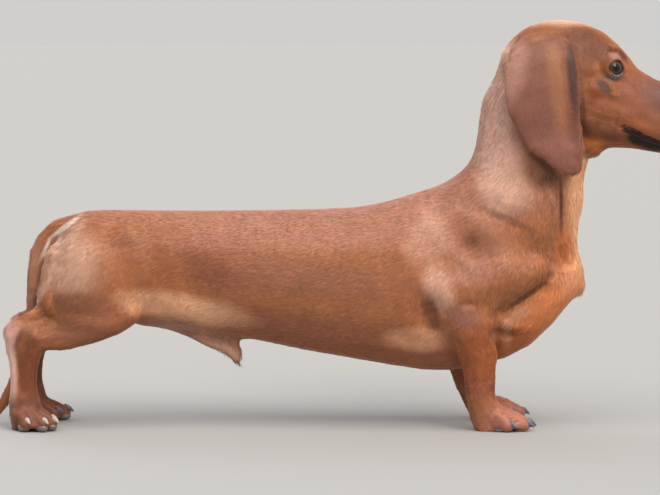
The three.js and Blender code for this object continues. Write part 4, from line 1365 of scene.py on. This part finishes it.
on_ear = ear[corners].mean(axis=1) > 0.5
x, side_y, z = middle[:, 0], np.abs(middle[:, 1]), middle[:, 2]
REGIONS = {  # a triangle belongs to the first one that it fits
    "coat_ears": on_ear,
    "coat_muzzle": (x > 254) & (z > 225),
    "coat_face": (x > 218) & (z > 228),
    "coat_skull": (x > 140) & (z > 262),
    "coat_neck": (z > 206) & (x > 90),
    "coat_hind_paws": (z < 24) & (x < 0) & (x > -278),
    "coat_forepaws": (z < 24) & (x > 60),
    "coat_tail": (x < -236) & (side_y < 13) & (z < 185),
    "coat_forelegs": (z < 94) & (x > 78) & (side_y > 26) & (x < 152),
    "coat_hind_legs": (z < 106) & (x < -158) & (side_y > 12),
    "coat_shoulders": x > 92,
    "coat_ribs": x > -20,
    "coat_loins": x > -135,
    "coat_rump": x > -400,
}
region = np.full(len(middle), -1)
for number, inside in enumerate(REGIONS.values()):
    region[(region < 0) & inside] = number
print("regions", np.bincount(region).tolist())


# %% Growing the tufts
def coat_density(where, length):
    """Tufts for each square millimetre."""
    density = 2 * COVER / (length * length * SLIM)
    thin = oval(where, (-112, 8, 72), (62, 34, 22), -20)
    return density * (1 - 0.75 * step(0.2, 0.6, thin))


def lift_degrees(where):
    """How far the hair stands off the skin."""
    lift = np.full(len(where), 3.8)
    for centre, radii, (begin, full), _, higher in LONG_HAIR:
        lift += higher * step(begin, full, oval(where, centre, radii))
    return lift


skin_tree = BVHTree.FromPolygons(body.tolist(), corners.tolist())


def settled(tips, heights):
    """Tips raised to such heights over the skin, so that hair follows a hollow and doesn't dive into it."""
    found = [skin_tree.find_nearest(tip)[:2] for tip in tips.tolist()]
    below = np.array([place for place, _ in found])
    outwards = np.array([direction for _, direction in found])
    missing = heights - np.sum((tips - below) * outwards, axis=1, keepdims=True)
    return tips + outwards * np.clip(missing, 0, MOST_BEND)


def unwrapped(numbers):
    """A mesh of only these faces, unwrapped by angle; gives the place of each corner on the unwrap."""
    kept = set(face_of[numbers].tolist())
    net = bmesh.new()
    net.from_mesh(skin_mesh)
    layer = net.faces.layers.int.new("was")
    for face in net.faces:
        face[layer] = face.index
    bmesh.ops.delete(net, geom=[f for f in net.faces if f.index not in kept], context="FACES")
    patch_mesh = bpy.data.meshes.new("patch")
    net.to_mesh(patch_mesh)
    net.free()
    patch = in_scene("patch", patch_mesh)
    bpy.context.view_layer.objects.active = patch
    patch.select_set(True)
    bpy.ops.object.mode_set(mode="EDIT")
    bpy.ops.mesh.select_all(action="SELECT")
    bpy.ops.uv.smart_project(angle_limit=math.radians(UNWRAP_ANGLE), island_margin=0.004)
    bpy.ops.object.mode_set(mode="OBJECT")
    uv = read(patch_mesh.uv_layers.active.data, "uv", 2)
    was = read(patch_mesh.attributes["was"].data, "value", kind=np.int32)
    skin_starts = read(skin_mesh.polygons, "loop_start", kind=np.int32)
    new_start = np.full(len(skin_starts), -1)
    new_start[was] = read(patch_mesh.polygons, "loop_start", kind=np.int32)
    face = face_of[numbers]
    picked = triangle_loops[numbers] - skin_starts[face][:, None] + new_start[face][:, None]
    places_on_map = uv[picked]
    bpy.data.objects.remove(patch)
    bpy.data.meshes.remove(patch_mesh)
    return places_on_map


def grow(name, numbers):
    """One piece of coat over some triangles of the skin."""
    length = coat_length(middle[numbers])
    wanted = area[numbers] * coat_density(middle[numbers], length)
    wanted *= 1 - step(0.35, 0.75, bare[corners[numbers]].mean(axis=1))
    inwards = facing[corners[numbers]].mean(axis=1)[:, 1] * np.sign(middle[numbers, 1])
    wanted *= 1 - (ear[corners[numbers]].mean(axis=1) > 0.5) * (inwards < -0.1)  # the ear's inside is bald
    total = min(int(wanted.sum()), MOST_TUFTS)
    pick = chance.choice(len(numbers), total, p=wanted / wanted.sum())
    a, b = chance.random(total), chance.random(total)
    over = a + b > 1
    a[over], b[over] = 1 - a[over], 1 - b[over]
    weights = np.stack([1 - a - b, a, b], axis=1)[:, :, None]
    tri = corners[numbers][pick]
    root = (body[tri] * weights).sum(axis=1)
    up = unit((facing[tri] * weights).sum(axis=1))
    on_map = (unwrapped(numbers)[pick] * weights).sum(axis=1)
    ahead, lies = combed(root, up)
    ahead = unit(ahead + np.cross(up, ahead) * chance.normal(0, 0.075, total)[:, None])
    beside = np.cross(up, ahead)
    long = coat_length(root) * (0.35 + 0.65 * step(0.25, 0.75, lies))
    long = (long * chance.uniform(0.75, 1.2, total))[:, None]
    wide = long * SLIM * chance.uniform(0.8, 1.25, total)[:, None]
    lift = np.radians(lift_degrees(root) * chance.uniform(0.5, 1.5, total))[:, None]
    height = long * np.sin(lift)
    tips = settled(root + ahead * long * np.cos(lift) + up * height, height)
    points = np.stack([
        root - beside * wide / 2 - up * ROOT_SUNK,
        root + beside * wide / 2 - up * ROOT_SUNK,
        root + (tips - root) * 0.25 + up * wide * 0.16,
        tips,
    ], axis=1)
    points[:, :, 2] = np.maximum(points[:, :, 2], 0.12)
    shading = unit(np.stack([up - 0.45 * beside, up + 0.45 * beside, up, up + 0.25 * ahead], axis=1))
    first = np.arange(total, dtype=np.int32)[:, None] * 4
    faces = (first + np.array([0, 2, 1, 1, 2, 3, 3, 2, 0, 0, 1, 3], dtype=np.int32)).reshape(-1)
    mesh = bpy.data.meshes.new(name)
    mesh.vertices.add(total * 4)
    mesh.loops.add(total * 12)
    mesh.polygons.add(total * 4)
    mesh.vertices.foreach_set("co", metres(points.reshape(-1, 3)).astype(np.float32).ravel())
    mesh.loops.foreach_set("vertex_index", faces)
    mesh.polygons.foreach_set("loop_start", np.arange(total * 4, dtype=np.int32) * 3)
    mesh.update(calc_edges=True)
    corner_shift = np.array([[-0.5, -0.5], [0.5, -0.5], [0.5, 0.5], [-0.5, 0.5]]) * PATCH
    uv = np.clip(on_map[:, None, :] + corner_shift, 0, 1).reshape(-1, 2)
    map_layer = mesh.uv_layers.new(name="OFBake")
    map_layer.data.foreach_set("uv", uv[faces].astype(np.float32).ravel())
    tag(mesh, "tone", np.repeat(chance.random(total), 4))
    tag(mesh, "ear", np.repeat((ear[tri] * weights[:, :, 0]).sum(axis=1), 4))
    tag(mesh, "tip", np.tile([0.0, 0.0, 0.5, 1.0], total))
    mesh.shade_smooth()
    mesh.normals_split_custom_set_from_vertices(shading.reshape(-1, 3).astype(np.float32))
    mesh.materials.append(coat)
    piece = in_scene(name, mesh)
    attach(piece, "root")
    return total


tufts = 0
for number, name in enumerate(REGIONS):
    grown = grow(name, np.flatnonzero(region == number))
    print(name, grown)
    tufts += grown
print("tufts", tufts, "triangles", tufts * 4)
